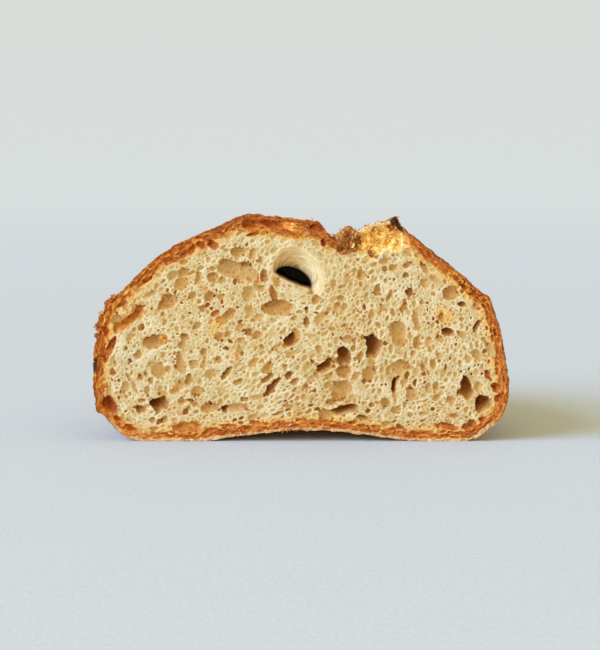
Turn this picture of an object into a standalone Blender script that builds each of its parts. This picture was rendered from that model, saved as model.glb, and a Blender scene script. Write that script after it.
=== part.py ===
"""Half a sourdough loaf, cut across its middle and standing on its base.

Metres, +Z up. The cut face looks towards -Y, and the origin is the middle of the loaf's
footprint, on the surface that it stands on. The loaf is one solid: a domed crust lofted
from the outline of the cut, opened along the top by the score, with the crumb's open
pockets sunk into the cut face.
"""

import math
import random

import bmesh
import bpy
from mathutils import Matrix, Vector, noise

MM = 0.001

# The loaf's size
WIDTH = 180 * MM
DEPTH = 120 * MM
HEIGHT = 98.5 * MM
CUT_Y = -DEPTH / 2

# How each section shrinks from the cut to the rounded far end
POLE_HEIGHT = 27 * MM
SIDE_ROUNDNESS = 2.3
TOP_ROUNDNESS = 2.05
BASE_ROUNDNESS = 3.6
END_DRIFT = 5 * MM

# The outline of the cut without its score, in millimetres, clockwise from the left foot
OUTLINE = (
    (-68, -1.4), (-76.5, 1.3), (-83.5, 8.2), (-88.3, 18), (-90, 30), (-88.8, 43),
    (-85.5, 56), (-75, 68.7), (-57, 83), (-40, 91.3), (-24, 98), (-12, 98),
    (5, 96.5), (25, 97), (40, 97.3), (47, 91), (60, 80.3), (75, 67.3),
    (81.3, 60.5), (85.5, 48), (89, 30), (90, 19), (86.5, 8), (79.5, 1), (71.5, -1.4),
)
SIDE_STEP = 4.6 * MM
SCORE_STEP = 2.3 * MM
BASE_COLUMNS = 26
ROWS = 23

# The arch under the loaf: it stands on a foot at each side and on its far end
ARCH_RISE = 4.9 * MM
ARCH_LEFT = -54 * MM
ARCH_RIGHT = 58 * MM
ARCH_TOP = 3 * MM
ARCH_REACH = 0.5

# The score: where it lies across the cut, and how deep it is, from its left lip to its ear
SCORE_LEFT = 5 * MM
SCORE_RIGHT = 41 * MM
SCORE_LENGTH = 0.84
SCORE_DRIFT = -9 * MM
SCORE_PROFILE = (
    (0, 0), (0.1, 2), (0.2, 7), (0.28, 8), (0.35, 4.8), (0.44, 4), (0.53, 6),
    (0.62, 5), (0.72, 2.8), (0.88, 1.5), (1, 0),
)
EAR_RISE = 0.9 * MM
EAR_WIDTH = 0.16
TEAR_RELIEF = 1.6 * MM

# Relief of the crust: long swells, blisters, and a swell on each shoulder behind the cut
SWELL = 2 * MM
SWELL_SIZE = 30 * MM
BLISTER = 1.1 * MM
BLISTER_SIZE = 9 * MM
RELIEF_START = 10 * MM
SHOULDERS = ((-82 * MM, 60 * MM, 1.6 * MM), (82 * MM, 60 * MM, 2.2 * MM))
SHOULDER_SIZE = 13 * MM
SHOULDER_BACK = 11 * MM

# The crumb's larger pockets, in millimetres and degrees:
# x, z, half length, half width, tilt of the length above +X, depth below the cut
POCKETS = (
    (-72.9, 51.6, 6.9, 1.9, 40, 4.5), (-82.8, 39.8, 7.3, 1.7, 62, 5), (-81.9, 15.3, 4.3, 1.9, -60, 4.5),
    (-74.6, 6.2, 5.6, 1.5, -38, 4), (-68.8, 12.9, 2.2, 1.7, -10, 4.5), (-61.6, 15.7, 3.4, 2.8, 60, 7),
    (-51.3, 33.5, 6, 1.9, 82, 3.5), (-63.3, 42.8, 6.9, 3, 15, 2), (-72.2, 24.6, 5.6, 1.3, -62, 3),
    (-61.9, 30.4, 3, 2.8, 0, 1.6), (-57.2, 59.2, 5.2, 2.6, 15, 2), (-64.8, 63.4, 3.2, 1.3, 25, 2.5),
    (-54.7, 77.4, 3.9, 0.9, 28, 4), (-36.5, 84.7, 2.2, 2, 0, 4), (-41.6, 84.2, 1.8, 1.4, 0, 3.5),
    (-45.8, 81.7, 2.6, 1.5, 25, 3), (-34.9, 90, 2.8, 1, 10, 3), (-21.8, 92.6, 3.2, 1.3, 0, 4),
    (-15.5, 92.9, 2.2, 1.3, 0, 3.5), (-20.8, 89.3, 3.4, 0.8, 8, 4), (-26.7, 82, 3, 2.2, 0, 2.2),
    (-38.2, 70.5, 2.2, 2.1, 0, 6), (-43.8, 70.5, 3.4, 1.9, 70, 2), (-27.1, 73.3, 8.6, 4.1, -16, 4),
    (-15.3, 71.5, 3.2, 1.8, -68, 6), (-9.9, 58.1, 5.8, 3.7, 0, 3), (-30.6, 54.4, 4.7, 2.2, 38, 3),
    (-17.3, 53.5, 2.2, 2.1, 0, 2.5), (3.1, 52, 3.6, 0.9, -72, 4), (25.8, 71.2, 1.9, 1.5, 90, 2.5),
    (32.8, 66.6, 1.7, 1.3, 60, 2.5), (37.7, 63.3, 2.6, 1.1, 80, 2.5), (45.3, 82.5, 1.8, 1.5, 0, 3),
    (54.4, 72.9, 6, 1.7, -33, 3), (63, 64.3, 3.2, 2.8, -70, 4), (53, 68.4, 2.8, 1.5, -35, 3),
    (46.1, 63, 3, 1.4, -65, 4), (49.9, 52.7, 3.9, 1.3, -78, 3), (41.4, 46.4, 6, 2.8, 87, 6),
    (75.4, 49.7, 3.2, 1.7, 62, 5), (63.6, 47.3, 2.6, 1.7, 0, 5), (78.4, 58.1, 2.4, 0.7, -60, 4),
    (42.1, 32.5, 3.4, 3, 30, 5), (41.2, 23.6, 4.4, 1.4, 75, 11), (57.5, 33.5, 2.8, 1.4, -65, 2.5),
    (71.4, 23.9, 5.2, 2.2, -65, 6), (79.1, 16.3, 3.7, 2.6, 50, 5), (84.2, 22.5, 1.9, 1.7, 0, 5),
    (85.1, 18.1, 1.9, 1.3, -60, 5), (72.9, 6.4, 3.7, 1.5, 12, 4), (65.4, 5.4, 3, 1, 5, 4),
    (-1.3, 47, 2.6, 2.2, 70, 3.5), (-3.2, 43, 2.8, 2.2, -50, 7), (18.5, 36.8, 3.9, 2.8, -70, 8),
    (31.6, 40.3, 4.5, 2.8, 75, 8), (10.7, 32.1, 3, 2.2, 50, 7), (19.3, 30.4, 3.2, 2.6, -40, 2),
    (17.2, 23.5, 3.4, 2.6, 0, 2.5), (20.1, 13.6, 6.5, 2.2, 8, 7), (27.2, 10.1, 2.6, 1, -8, 4),
    (-42.4, 38.6, 2.2, 1.6, 35, 2.5), (-25.5, 49.2, 2.8, 1.3, 30, 2.5), (-8, 46.3, 2.6, 1.4, 25, 3),
    (-31.3, 29.4, 3.2, 1.1, 50, 5), (-14.4, 27, 3.2, 0.9, 35, 4), (-12.1, 23.5, 5.8, 1.7, 37, 4.5),
    (-39.9, 13.9, 4.1, 2, 10, 4), (-28.5, 14.1, 4.9, 1.9, 5, 6), (-50.3, 5.9, 4.3, 1.1, 8, 3),
)
POCKET_SIDES = 11
POCKET_RINGS = 6

# The fold's tunnel: a smooth funnel with a deep dark throat in its lower part, laid out the same way
FUNNEL = (-1.2, 74.6, 12.2, 9.6, -34, 5)
THROAT = (-3.4, 71, 8, 3.1, -24, 34)
TUNNEL_SIDES = 18
TUNNEL_RINGS = 10

# Small pockets strewn between them by a seeded rule
SMALL_POCKETS = 60
SMALL_SIZE = (1.1 * MM, 1.8 * MM)
SMALL_GAP = 0.8 * MM
SMALL_SIDES = 6
SMALL_RINGS = 4
CRUST_THICKNESS = 5 * MM
SEED = 7

CRUST_COLOUR = (0.42, 0.19, 0.06, 1)
CRUST_ROUGHNESS = 0.75


def clear_scene():
    for obj in list(bpy.data.objects):
        bpy.data.objects.remove(obj, do_unlink=True)


def smooth(a, b, value):
    """0 below a, 1 above b, and an even turn between."""
    t = min(max((value - a) / (b - a), 0), 1)
    return t * t * (3 - 2 * t)


def through(points, samples):
    """A curve through the points, as a Catmull-Rom spline with open ends."""
    padded = (points[0], *points, points[-1])
    curve = []
    for i in range(1, len(padded) - 2):
        before, start, end, after = (Vector(p) for p in padded[i - 1 : i + 3])
        for step in range(samples):
            t = step / samples
            curve.append(
                0.5
                * (
                    2 * start
                    + (end - before) * t
                    + (2 * before - 5 * start + 4 * end - after) * t**2
                    + (3 * start - before - 3 * end + after) * t**3
                )
            )
    curve.append(Vector(points[-1]))
    return curve


def fitted(curve):
    """The curve in metres, stretched a little so that it is exactly as wide and high as the loaf."""
    left, right = min(p.x for p in curve), max(p.x for p in curve)
    top = max(p.y for p in curve)
    return [
        Vector(((p.x - left) / (right - left) * WIDTH - WIDTH / 2, p.y * HEIGHT / top))
        for p in curve
    ]


def columns():
    """The outline's points, one for each column of the crust, closer together across the score."""
    curve = fitted(through(OUTLINE, samples=24))
    picked, walked = [curve[0]], 0.0
    for before, point in zip(curve, curve[1:]):
        walked += (point - before).length
        in_score = point.y > HEIGHT / 2 and SCORE_LEFT <= point.x <= SCORE_RIGHT + 4 * MM
        if walked >= (SCORE_STEP if in_score else SIDE_STEP):
            picked.append(point)
            walked = 0.0
    last, first = curve[-1], picked[0]
    if (picked[-1] - last).length < SCORE_STEP:
        picked.pop()
    return picked + [last.lerp(first, i / BASE_COLUMNS) for i in range(BASE_COLUMNS)]


def rounded(t, roundness):
    """How much of a section is left at t, from 0 at the cut to 1 at the far end."""
    return max(1 - t**roundness, 0) ** (1 / roundness)


def lofted(column, t):
    """A point of the plain dome: a column of the outline, shrunk towards the pole."""
    x = column.x * rounded(t, SIDE_ROUNDNESS) + END_DRIFT * t * t * rounded(t, SIDE_ROUNDNESS)
    above = column.y - POLE_HEIGHT
    z = POLE_HEIGHT + above * rounded(t, TOP_ROUNDNESS if above > 0 else BASE_ROUNDNESS)
    return Vector((x, CUT_Y + DEPTH * t, z))


def score_place(column, t):
    """Where a column lies across the score: 0 at its left lip, 1 at its ear, or None off it."""
    if column.y < HEIGHT / 2 or t >= SCORE_LENGTH:
        return None
    middle = (SCORE_LEFT + SCORE_RIGHT) / 2 + SCORE_DRIFT * t
    half = (SCORE_RIGHT - SCORE_LEFT) / 2 * rounded(t / SCORE_LENGTH, 2)
    return (column.x - middle) / half / 2 + 0.5


def score_depth(place):
    for (a, low), (b, high) in zip(SCORE_PROFILE, SCORE_PROFILE[1:]):
        if a <= place <= b:
            return (low + (high - low) * (place - a) / (b - a)) * MM
    return 0.0


def crust_relief(point, column, t):
    """How far the crust stands out of the plain dome at a point, along the normal."""
    fade = smooth(0, RELIEF_START, point.y - CUT_Y) * (1 - smooth(0.93, 1, t))
    swell = -SWELL * (0.5 + 0.5 * noise.noise(point / SWELL_SIZE))
    blister = -BLISTER * (0.5 + 0.5 * noise.noise(point / BLISTER_SIZE))
    out = fade * (swell + blister)
    for x, z, rise in SHOULDERS:
        away = (point - Vector((x, CUT_Y + SHOULDER_BACK, z))).length
        out += rise * (1 - smooth(0, SHOULDER_SIZE, away))
    place = score_place(column, t)
    if place is None:
        return out
    closing = 1 - smooth(0.5, 1, t / SCORE_LENGTH)
    if 0 <= place <= 1:
        torn = TEAR_RELIEF * noise.noise(point / (3.5 * MM)) * smooth(0, 0.1, place)
        out += closing * (fade * torn - score_depth(place))
    ear = 1 - abs(place - 1 - EAR_WIDTH / 2) / EAR_WIDTH
    return out + closing * EAR_RISE * max(ear, 0)


def arch(point, t):
    """How far the base is lifted off the floor: most at the cut, and not at all at the feet."""
    half = ARCH_LEFT - ARCH_TOP if point.x < ARCH_TOP else ARCH_RIGHT - ARCH_TOP
    along = min(abs((point.x - ARCH_TOP) / half), 1)
    return ARCH_RISE * (1 + math.cos(math.pi * along)) / 2 * (1 - smooth(0, ARCH_REACH, t))


def dome_normal(column, ahead, behind, t):
    across = lofted(ahead, t) - lofted(behind, t)
    along = lofted(column, min(t + 0.01, 1)) - lofted(column, max(t - 0.01, 0))
    return across.cross(along).normalized()


def crust_rows(outline):
    """The crust's points, one ring for each row from the cut to just short of the pole, centred on X."""
    rings = []
    for row in range(ROWS):
        t = math.sin(math.pi / 2 * row / ROWS)
        ring = []
        for i, column in enumerate(outline):
            point = lofted(column, t)
            if column.y < 0:
                point.z = max(point.z, 0) + arch(point, t)
            else:
                ahead, behind = outline[(i + 1) % len(outline)], outline[i - 1]
                out = crust_relief(point, column, t)
                point += dome_normal(column, ahead, behind, t) * out
                point.y = max(point.y, CUT_Y) if row else CUT_Y
                point.z = max(point.z, 0)
            ring.append(point)
        rings.append(ring)
    every_x = [point.x for ring in rings for point in ring]
    shift = Vector(((min(every_x) + max(every_x)) / 2, 0, 0))
    return [[point - shift for point in ring] for ring in rings]


def crust_mesh(outline):
    """The closed dome: rings joined by faces, a flat cut face in front and a pole at the far end."""
    shell = bmesh.new()
    rings = [[shell.verts.new(p) for p in ring] for ring in crust_rows(outline)]
    pole = shell.verts.new((0, CUT_Y + DEPTH, POLE_HEIGHT))
    count = len(outline)
    for near, far in zip(rings, rings[1:]):
        for i in range(count):
            j = (i + 1) % count
            shell.faces.new((near[i], near[j], far[j], far[i]))
    for i in range(count):
        shell.faces.new((rings[-1][i], rings[-1][(i + 1) % count], pole))
    shell.faces.new(rings[0])
    bmesh.ops.recalc_face_normals(shell, faces=shell.faces)
    mesh = bpy.data.meshes.new("loaf")
    shell.to_mesh(mesh)
    shell.free()
    return mesh


def add_pocket(shape, x, z, length, width, tilt, depth, sides, rings):
    """Adds an egg-shaped cutter whose middle lies on the cut face. Lengths are half lengths."""
    made = bmesh.ops.create_uvsphere(shape, u_segments=sides, v_segments=rings, radius=1)
    size = Matrix.Diagonal((length, depth, width, 1))
    turned = Matrix.Rotation(-math.radians(tilt), 4, "Y")
    place = Matrix.Translation((x, CUT_Y, z)) @ turned @ size @ Matrix.Rotation(math.pi / 2, 4, "X")
    bmesh.ops.transform(shape, matrix=place, verts=made["verts"])


def make_cutter(name, collection, *pockets):
    shape = bmesh.new()
    for pocket in pockets:
        add_pocket(shape, *pocket)
    mesh = bpy.data.meshes.new(name)
    shape.to_mesh(mesh)
    shape.free()
    cutter = bpy.data.objects.new(name, mesh)
    cutter.hide_render = True
    cutter.display_type = "WIRE"
    collection.objects.link(cutter)


def listed_pockets():
    return [
        (x * MM, z * MM, length * MM, width * MM, tilt, depth * MM)
        for x, z, length, width, tilt, depth in (*POCKETS, FUNNEL, THROAT)
    ]


def clear_of(x, z, size, taken):
    """Whether a small pocket keeps its gap to every pocket in taken, each seen as an ellipse."""
    for px, pz, length, width, tilt, _ in taken:
        turn = math.radians(tilt)
        along = (x - px) * math.cos(turn) + (z - pz) * math.sin(turn)
        across = (z - pz) * math.cos(turn) - (x - px) * math.sin(turn)
        reach = size + SMALL_GAP
        if (along / (length + reach)) ** 2 + (across / (width + reach)) ** 2 < 1:
            return False
    return True


def inside_crumb(x, z, outline):
    """Whether a point of the cut face lies in the crumb, at least a crust's thickness in."""
    near = min((Vector((x, z)) - point).length for point in outline)
    crossings = 0
    for a, b in zip(outline, (*outline[1:], outline[0])):
        if (a.y > z) != (b.y > z) and x < a.x + (z - a.y) / (b.y - a.y) * (b.x - a.x):
            crossings += 1
    return crossings % 2 == 1 and near > CRUST_THICKNESS and z > ARCH_RISE + CRUST_THICKNESS


def strewn_pockets(outline):
    draw = random.Random(SEED)
    taken, strewn = listed_pockets(), []
    while len(strewn) < SMALL_POCKETS:
        x = draw.uniform(-WIDTH / 2, WIDTH / 2)
        z = draw.uniform(0, HEIGHT)
        size = draw.uniform(*SMALL_SIZE)
        under_score = SCORE_LEFT < x < SCORE_RIGHT and z > HEIGHT - 18 * MM
        if under_score or not inside_crumb(x, z, outline) or not clear_of(x, z, size, taken):
            continue
        pocket = (x, z, size, size * draw.uniform(0.6, 0.9), draw.uniform(0, 180), size)
        strewn.append(pocket)
        taken.append(pocket)
    return strewn


def crust_material():
    material = bpy.data.materials.new("crust")
    material.use_nodes = True
    shader = material.node_tree.nodes["Principled BSDF"]
    shader.inputs["Base Color"].default_value = CRUST_COLOUR
    shader.inputs["Roughness"].default_value = CRUST_ROUGHNESS
    return material


def build():
    clear_scene()
    outline = columns()
    cutters = bpy.data.collections.new("pockets")
    bpy.context.scene.collection.children.link(cutters)
    *large, funnel, throat = listed_pockets()
    for i, pocket in enumerate(large):
        make_cutter(f"pocket_{i + 1}", cutters, (*pocket, POCKET_SIDES, POCKET_RINGS))
    make_cutter("tunnel_funnel", cutters, (*funnel, TUNNEL_SIDES, TUNNEL_RINGS))
    make_cutter("tunnel_throat", cutters, (*throat, TUNNEL_SIDES, TUNNEL_RINGS))
    small = [(*pocket, SMALL_SIDES, SMALL_RINGS) for pocket in strewn_pockets(outline)]
    make_cutter("small_pockets", cutters, *small)
    loaf = bpy.data.objects.new("loaf", crust_mesh(outline))
    bpy.context.scene.collection.objects.link(loaf)
    loaf.data.materials.append(crust_material())
    cut = loaf.modifiers.new("open the pockets", "BOOLEAN")
    cut.operation = "DIFFERENCE"
    cut.operand_type = "COLLECTION"
    cut.collection = cutters
    cut.solver = "EXACT"


build()
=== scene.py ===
"""The looks of half a sourdough loaf that stands on its base, its cut face towards the camera.

The crumb is carved out of a slab behind the cut: every bubble that the knife opened is a real hollow.
The crust is lofted back from the same outline. Shapes are worked out in millimetres, with Y counted
back from the cut, and only become metres, in the frame's axes, as each mesh is made.
"""

import functools
import math

import bpy
import numpy as np
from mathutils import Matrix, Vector


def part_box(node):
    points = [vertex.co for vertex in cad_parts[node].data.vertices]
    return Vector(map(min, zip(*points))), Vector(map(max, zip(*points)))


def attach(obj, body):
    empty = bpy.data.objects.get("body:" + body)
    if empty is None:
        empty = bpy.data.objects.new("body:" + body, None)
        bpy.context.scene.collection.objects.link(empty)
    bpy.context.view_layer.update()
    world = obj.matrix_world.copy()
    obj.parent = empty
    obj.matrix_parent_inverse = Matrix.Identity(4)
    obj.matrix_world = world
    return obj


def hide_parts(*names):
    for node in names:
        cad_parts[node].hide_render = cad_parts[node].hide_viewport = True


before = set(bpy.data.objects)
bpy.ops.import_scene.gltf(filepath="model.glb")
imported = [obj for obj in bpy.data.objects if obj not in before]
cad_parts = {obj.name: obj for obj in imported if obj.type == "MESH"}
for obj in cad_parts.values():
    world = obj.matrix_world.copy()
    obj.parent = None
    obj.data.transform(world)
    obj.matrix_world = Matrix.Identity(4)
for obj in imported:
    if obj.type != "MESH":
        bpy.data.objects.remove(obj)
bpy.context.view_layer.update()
LOW, HIGH = (np.array(corner) * 1000 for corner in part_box("loaf"))
WIDTH, DEPTH, HEIGHT = HIGH - LOW
CUT_Y = LOW[1]

# How each section of the crust shrinks from the cut to the rounded far end
POLE_HEIGHT = 27
SIDE_ROUNDNESS = 2.3
TOP_ROUNDNESS = 2.05
BASE_ROUNDNESS = 3.6
END_DRIFT = 5

# The outline of the cut without its score, clockwise from the left foot
OUTLINE = (
    (-64, -1.2), (-68.8, -0.3), (-73.2, 0.8), (-76.8, 2.3), (-79.8, 4.6), (-82.6, 7.8), (-85.4, 11.3),
    (-87.9, 12.8), (-88.9, 15), (-89.4, 19), (-90, 27), (-89.6, 37), (-88.2, 46), (-86.4, 54.4),
    (-83.2, 60), (-78.1, 64.8), (-70, 73), (-61, 80.6), (-52, 86.5), (-43.5, 90.2), (-35, 93.8),
    (-27.5, 97.3), (-21, 98.7), (-14, 97.8), (-4, 96.7), (5, 95.8), (15, 96.2), (27, 96.9), (37, 97),
    (40.6, 97.6), (42.4, 94.2), (47, 90), (55, 83.7), (63.5, 77), (72, 69.8), (77.2, 65.4), (81.2, 61.6),
    (83.6, 55), (85.9, 47.5), (88.2, 36.5), (89.8, 24.5), (89.6, 18.3), (88.4, 14.1), (86.4, 10.8),
    (83.7, 7.8), (79.6, 4.6), (75.6, 1.7), (71.5, 0), (66, -1.2),
)
# The crust's mesh: the steps round the dome and along the base, and the rows from the cut to the far end
COLUMN_STEP, BASE_STEP = 0.8, 1.4
ROWS = 140

# The arch under the loaf: it stands on a foot at each side and on its far end
ARCH_RISE = 4.9
ARCH_LEFT, ARCH_TOP, ARCH_RIGHT = -54, 3, 58
ARCH_REACH = 0.3

# The score: where it lies across the cut, and how deep it is, from its left lip to its ear
SCORE_LEFT, SCORE_RIGHT = 5, 41
SCORE_LENGTH = 0.84
SCORE_DRIFT = -9
SCORE_PROFILE = (
    (0, 0), (0.08, 1), (0.14, 4.4), (0.21, 6.9), (0.28, 8), (0.34, 4.6), (0.44, 3.8), (0.52, 5.9),
    (0.59, 5.2), (0.71, 2.7), (0.86, 1.5), (0.95, 0.7), (1, 0),
)

# Relief of the crust: slow swells and blisters, by height and size, which set in behind the cut
SWELL, SWELL_SIZE = 2.0, 30
BLISTER, BLISTER_SIZE = 1.1, 9
RELIEF_START = 10
# Bulges at the shoulders: x, z and rise
SHOULDERS = ((-82, 60, 1.6), (82, 60, 2.2))
SHOULDER_SIZE, SHOULDER_BACK = 13, 11
# The flaky stretch of crust at the left shoulder: a place on it and the way that it runs
FLAKY_PLACE, FLAKY_WAY = (-83, 55), (0.5, 0.86)
# Where the crust is scorched up to the cut, by x: it starts, is full, fades and ends
SCORCHED_CROWN = (-31, -28, -18, -14)
SCORCHED_SLOPE = (41, 44, 74, 80)

# The crumb's grid of cells
STEP, STEP_BACK = 0.34, 0.5
BACK = 20
MARGIN, FRONT_MARGIN, LOW_MARGIN = 1.6, 1.5, 0.8
# The crumb's side stands a little proud of the crust at the cut, and is drawn in behind it
RIM_OUT, RIM_INSET = -0.25, 0.5

# The tunnel that the dough's fold left, its flared mouth and its throat: x, z, half length, half width, tilt
FUNNEL = (-0.8, 72.8, 13, 10.6, -48)
THROAT = (-3.4, 69.7, 8.1, 4.7, -24)
THROAT_FLOOR = 0
LEDGE_BOW = 0.8
FUNNEL_DEPTH = 8.5
TUNNEL_REACH = 30
TUNNEL_RISE, TUNNEL_SLANT, TUNNEL_WARP = 0.04, 0.18, 0.3
# The shaded side of the tunnel's mouth, as a turn in degrees
SHADE_TURN = 150

# Pockets that the knife opened, by their looks: x, z, length, width, tilt and depth below the cut
DARK = (
    (-3.6, 43.7, 4.9, 5.6, -50, 7), (18.9, 37.1, 7.6, 5.4, -75, 9), (31.6, 40.2, 8.8, 6, 80, 9),
    (10.6, 32.3, 5.2, 6, 0, 7), (41.4, 24.4, 7.2, 3, 70, 12), (-61.9, 16.1, 6.6, 6, 60, 8),
    (-69.1, 13.4, 4.3, 3, 0, 6), (19.6, 13.8, 12.4, 4.4, 8, 5), (27.1, 10.3, 5.6, 2.2, -10, 5),
    (-32.3, 13.9, 3.6, 2.2, 30, 6), (-32.1, 29.1, 7.2, 2.2, 45, 6), (-5, 29.2, 2.6, 4.3, 0, 5),
    (-14.6, 27.2, 6.4, 2.2, 35, 5), (-12.6, 23.7, 12, 3, 38, 5), (-9.8, 12.2, 5.2, 1.3, 12, 4),
    (3.2, 56.6, 1.7, 3.8, 0, 5), (2.9, 51.2, 2.1, 5.2, 0, 5), (5.3, 34.8, 2.1, 1.7, 0, 3),
    (14.9, 25.4, 1.7, 1.7, 0, 3), (6, 22.8, 1.7, 1.7, 0, 3), (-48.1, 13.6, 1.7, 1.5, 0, 3),
    (71.6, 23.7, 5.2, 11, 15, 8), (79.2, 15.9, 7.2, 5.4, 60, 6), (75.4, 50.3, 5.4, 3.4, 62, 7),
    (63.7, 47.4, 5.6, 3.4, -10, 6), (61.3, 53.6, 2.2, 3.4, 20, 4), (69.8, 59.4, 3.4, 2.4, 0, 4),
    (45.8, 64.6, 4.7, 2.6, 70, 4), (45.6, 71.9, 2.2, 2.2, 0, 5), (-59.3, 59.3, 2.2, 1.9, 0, 4),
    (-23.5, 75.8, 3, 2.2, 0, 5), (-22.2, 70, 2.2, 1.1, 0, 4),
)
TAN = (
    (-27.5, 74, 18, 7.8, -10, 2.4), (-38.4, 71.2, 4.3, 4.3, 0, 3.5), (-37.9, 75.1, 3, 2.6, 0, 2.5),
    (-44.3, 70.8, 6.9, 3.4, 70, 2.4), (-15.4, 71.9, 6.5, 3.9, -65, 4.5), (-17.3, 77.8, 2.2, 3, 0, 2),
    (-20.6, 81, 3.4, 3.9, 0, 2), (-27.5, 82.1, 6, 3.9, 0, 2.2), (-32.1, 83.2, 2.2, 1.5, 0, 2),
    (-10, 58.3, 12.5, 7.3, 0, 2.6), (-31.4, 54.4, 9.5, 4.7, 40, 3), (-57.4, 59.8, 9.9, 5.2, 30, 2),
    (-59.7, 54.7, 2.2, 1.7, 0, 3), (-65, 63.7, 6.5, 2.8, 28, 3.2), (-71.7, 58.1, 3, 2.2, 40, 2.4),
    (-75.5, 58.1, 2.6, 3, 0, 2.4), (-69.9, 65.4, 3, 2.6, 0, 2), (-62.9, 43.3, 12.5, 6, 20, 1.8),
    (-70.4, 37.8, 3.4, 3.9, 0, 2), (-51.5, 34, 11.6, 4.3, -80, 2.4), (-49.3, 45.6, 4.3, 3.4, 0, 2),
    (-51.5, 41.9, 4.3, 3, 0, 2), (-61.5, 31, 6.9, 7.3, 0, 1.3), (-56.7, 31, 3, 3.9, 0, 2),
    (-66.3, 29.2, 2.2, 2.2, 0, 2), (-64.6, 26.2, 2.6, 3, 0, 2), (-68.7, 27.9, 2.6, 3, 0, 2),
    (-48.4, 26.8, 3.4, 3.4, 0, 2), (-72.7, 24.9, 12, 2.4, -60, 2.4), (-69.1, 17.2, 3.4, 3, 0, 2),
    (-58.4, 9.1, 3.9, 3.4, 0, 2.6), (-64.3, 9.5, 3, 2.6, 0, 2.4), (-53.6, 8.3, 3, 2.2, 0, 2),
    (-51.2, 17.2, 3.9, 3.9, 0, 2), (-46, 15.9, 2.6, 2.6, 0, 2), (-40, 14.1, 7.8, 3.9, 10, 4),
    (-28.7, 14.4, 9.9, 3.9, 5, 3.6), (-42.4, 38.8, 4.3, 3.4, 35, 2.2), (-35.2, 34.9, 3, 3.4, 0, 2),
    (-25.6, 49.7, 6, 2.6, 25, 2.4), (-25.6, 44, 4.3, 3, 0, 1.8), (-17.6, 53.7, 5.2, 3.9, 0, 2.4),
    (-23.2, 53.8, 3, 1.7, 0, 2), (-2.9, 53.4, 3.4, 2.6, 0, 2), (-17.1, 66.4, 3.9, 3, 0, 2.4),
    (-7.7, 47.3, 3.9, 2.2, 15, 2.6), (-1.6, 46.5, 4.7, 6, 20, 2.8), (-6.6, 41.3, 3, 3, 0, 2.4),
    (-17.3, 41.1, 2.2, 3, 0, 2), (-6.9, 32.5, 3, 2.2, 0, 2), (-2.6, 26, 5.2, 3, 60, 3),
    (-27.2, 26.2, 5.2, 2.2, 20, 2.2), (-24.9, 17.9, 3.9, 2.2, 0, 2), (-6.9, 15.1, 3.4, 1.7, 0, 2),
    (4.4, 45, 3.9, 2.6, -50, 3), (6.2, 61.3, 3, 4.3, 0, 2.4), (7.9, 39.6, 3, 3.4, 0, 2.6),
    (7.5, 28.5, 3.4, 2.2, -60, 2.6), (2.1, 24.5, 2.6, 3.4, 0, 2.4), (2.1, 18.6, 3.9, 4.7, 0, 2.4),
    (17.8, 23, 9.5, 7.3, 0, 2), (18.9, 30.3, 6.9, 5.6, 0, 2.4), (19.9, 44.7, 3.4, 3.4, 0, 2),
    (22.3, 40.9, 3, 3, 0, 2), (27.1, 45.6, 2.6, 2.2, 0, 2), (26.1, 37.5, 3, 4.3, 0, 2.4),
    (17.6, 62, 3.4, 3, -45, 2), (25.7, 71.9, 3.4, 4.3, 0, 2.6), (28.5, 61.3, 2.6, 3.9, 0, 2.4),
    (32.5, 65.9, 3, 3.9, 0, 2.4), (36.4, 69.5, 2.2, 2.2, 0, 2), (37.7, 63.3, 6, 2.6, 70, 2.6),
    (19.7, 75.8, 3, 1.9, 0, 3), (27.5, 77.9, 4.7, 1.7, 0, 3.4), (42.1, 46.9, 11.2, 6, 80, 3.4),
    (43.1, 32.7, 6, 7.3, 0, 3.4), (41.6, 20, 3.4, 3, 0, 2.4), (49.9, 52.9, 9.5, 3.2, -80, 2.4),
    (45.5, 82.7, 3.9, 3, 0, 3), (50.4, 80.6, 3.4, 2.2, -35, 2), (45.5, 76.3, 3.4, 3.4, 0, 2.4),
    (53, 74.4, 5.6, 3, -40, 3), (57.6, 70.4, 6, 2.6, -45, 3), (53.3, 68.5, 5.6, 3, -45, 3),
    (63.9, 64, 5.6, 6.4, 0, 3), (52.5, 59.8, 2.2, 3, 0, 2), (59.8, 43.9, 3.4, 2.6, -45, 3),
    (48.9, 38.2, 3, 3, 0, 2.4), (51.6, 40, 2.6, 2.2, 0, 2), (52.9, 32.3, 2.6, 3, 0, 2),
    (57.2, 33.7, 5.2, 2.6, -70, 2.6), (69.2, 33.1, 2.2, 3, 0, 2.4), (72.6, 35.7, 4.3, 2.6, -65, 2.4),
    (76.4, 37.5, 3.9, 4.3, 0, 2.4), (54.8, 23.4, 2.2, 3.9, 0, 2), (48.2, 20.3, 4.3, 5.2, 0, 2),
    (65.1, 16.9, 3.4, 4.3, 0, 2.4), (44.7, 16.3, 2.2, 2.2, 0, 2), (53.4, 11, 5.6, 2.2, 12, 2),
    (66.1, 11.3, 3.9, 1.7, 0, 2),
)
GOLDEN = ((-74.2, 52.5, 16, 3.9, 42, 4.5), (-49.8, 5.9, 11.6, 3, 8, 3), (-36.8, 55.5, 4, 2.4, 40, 2))
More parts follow.
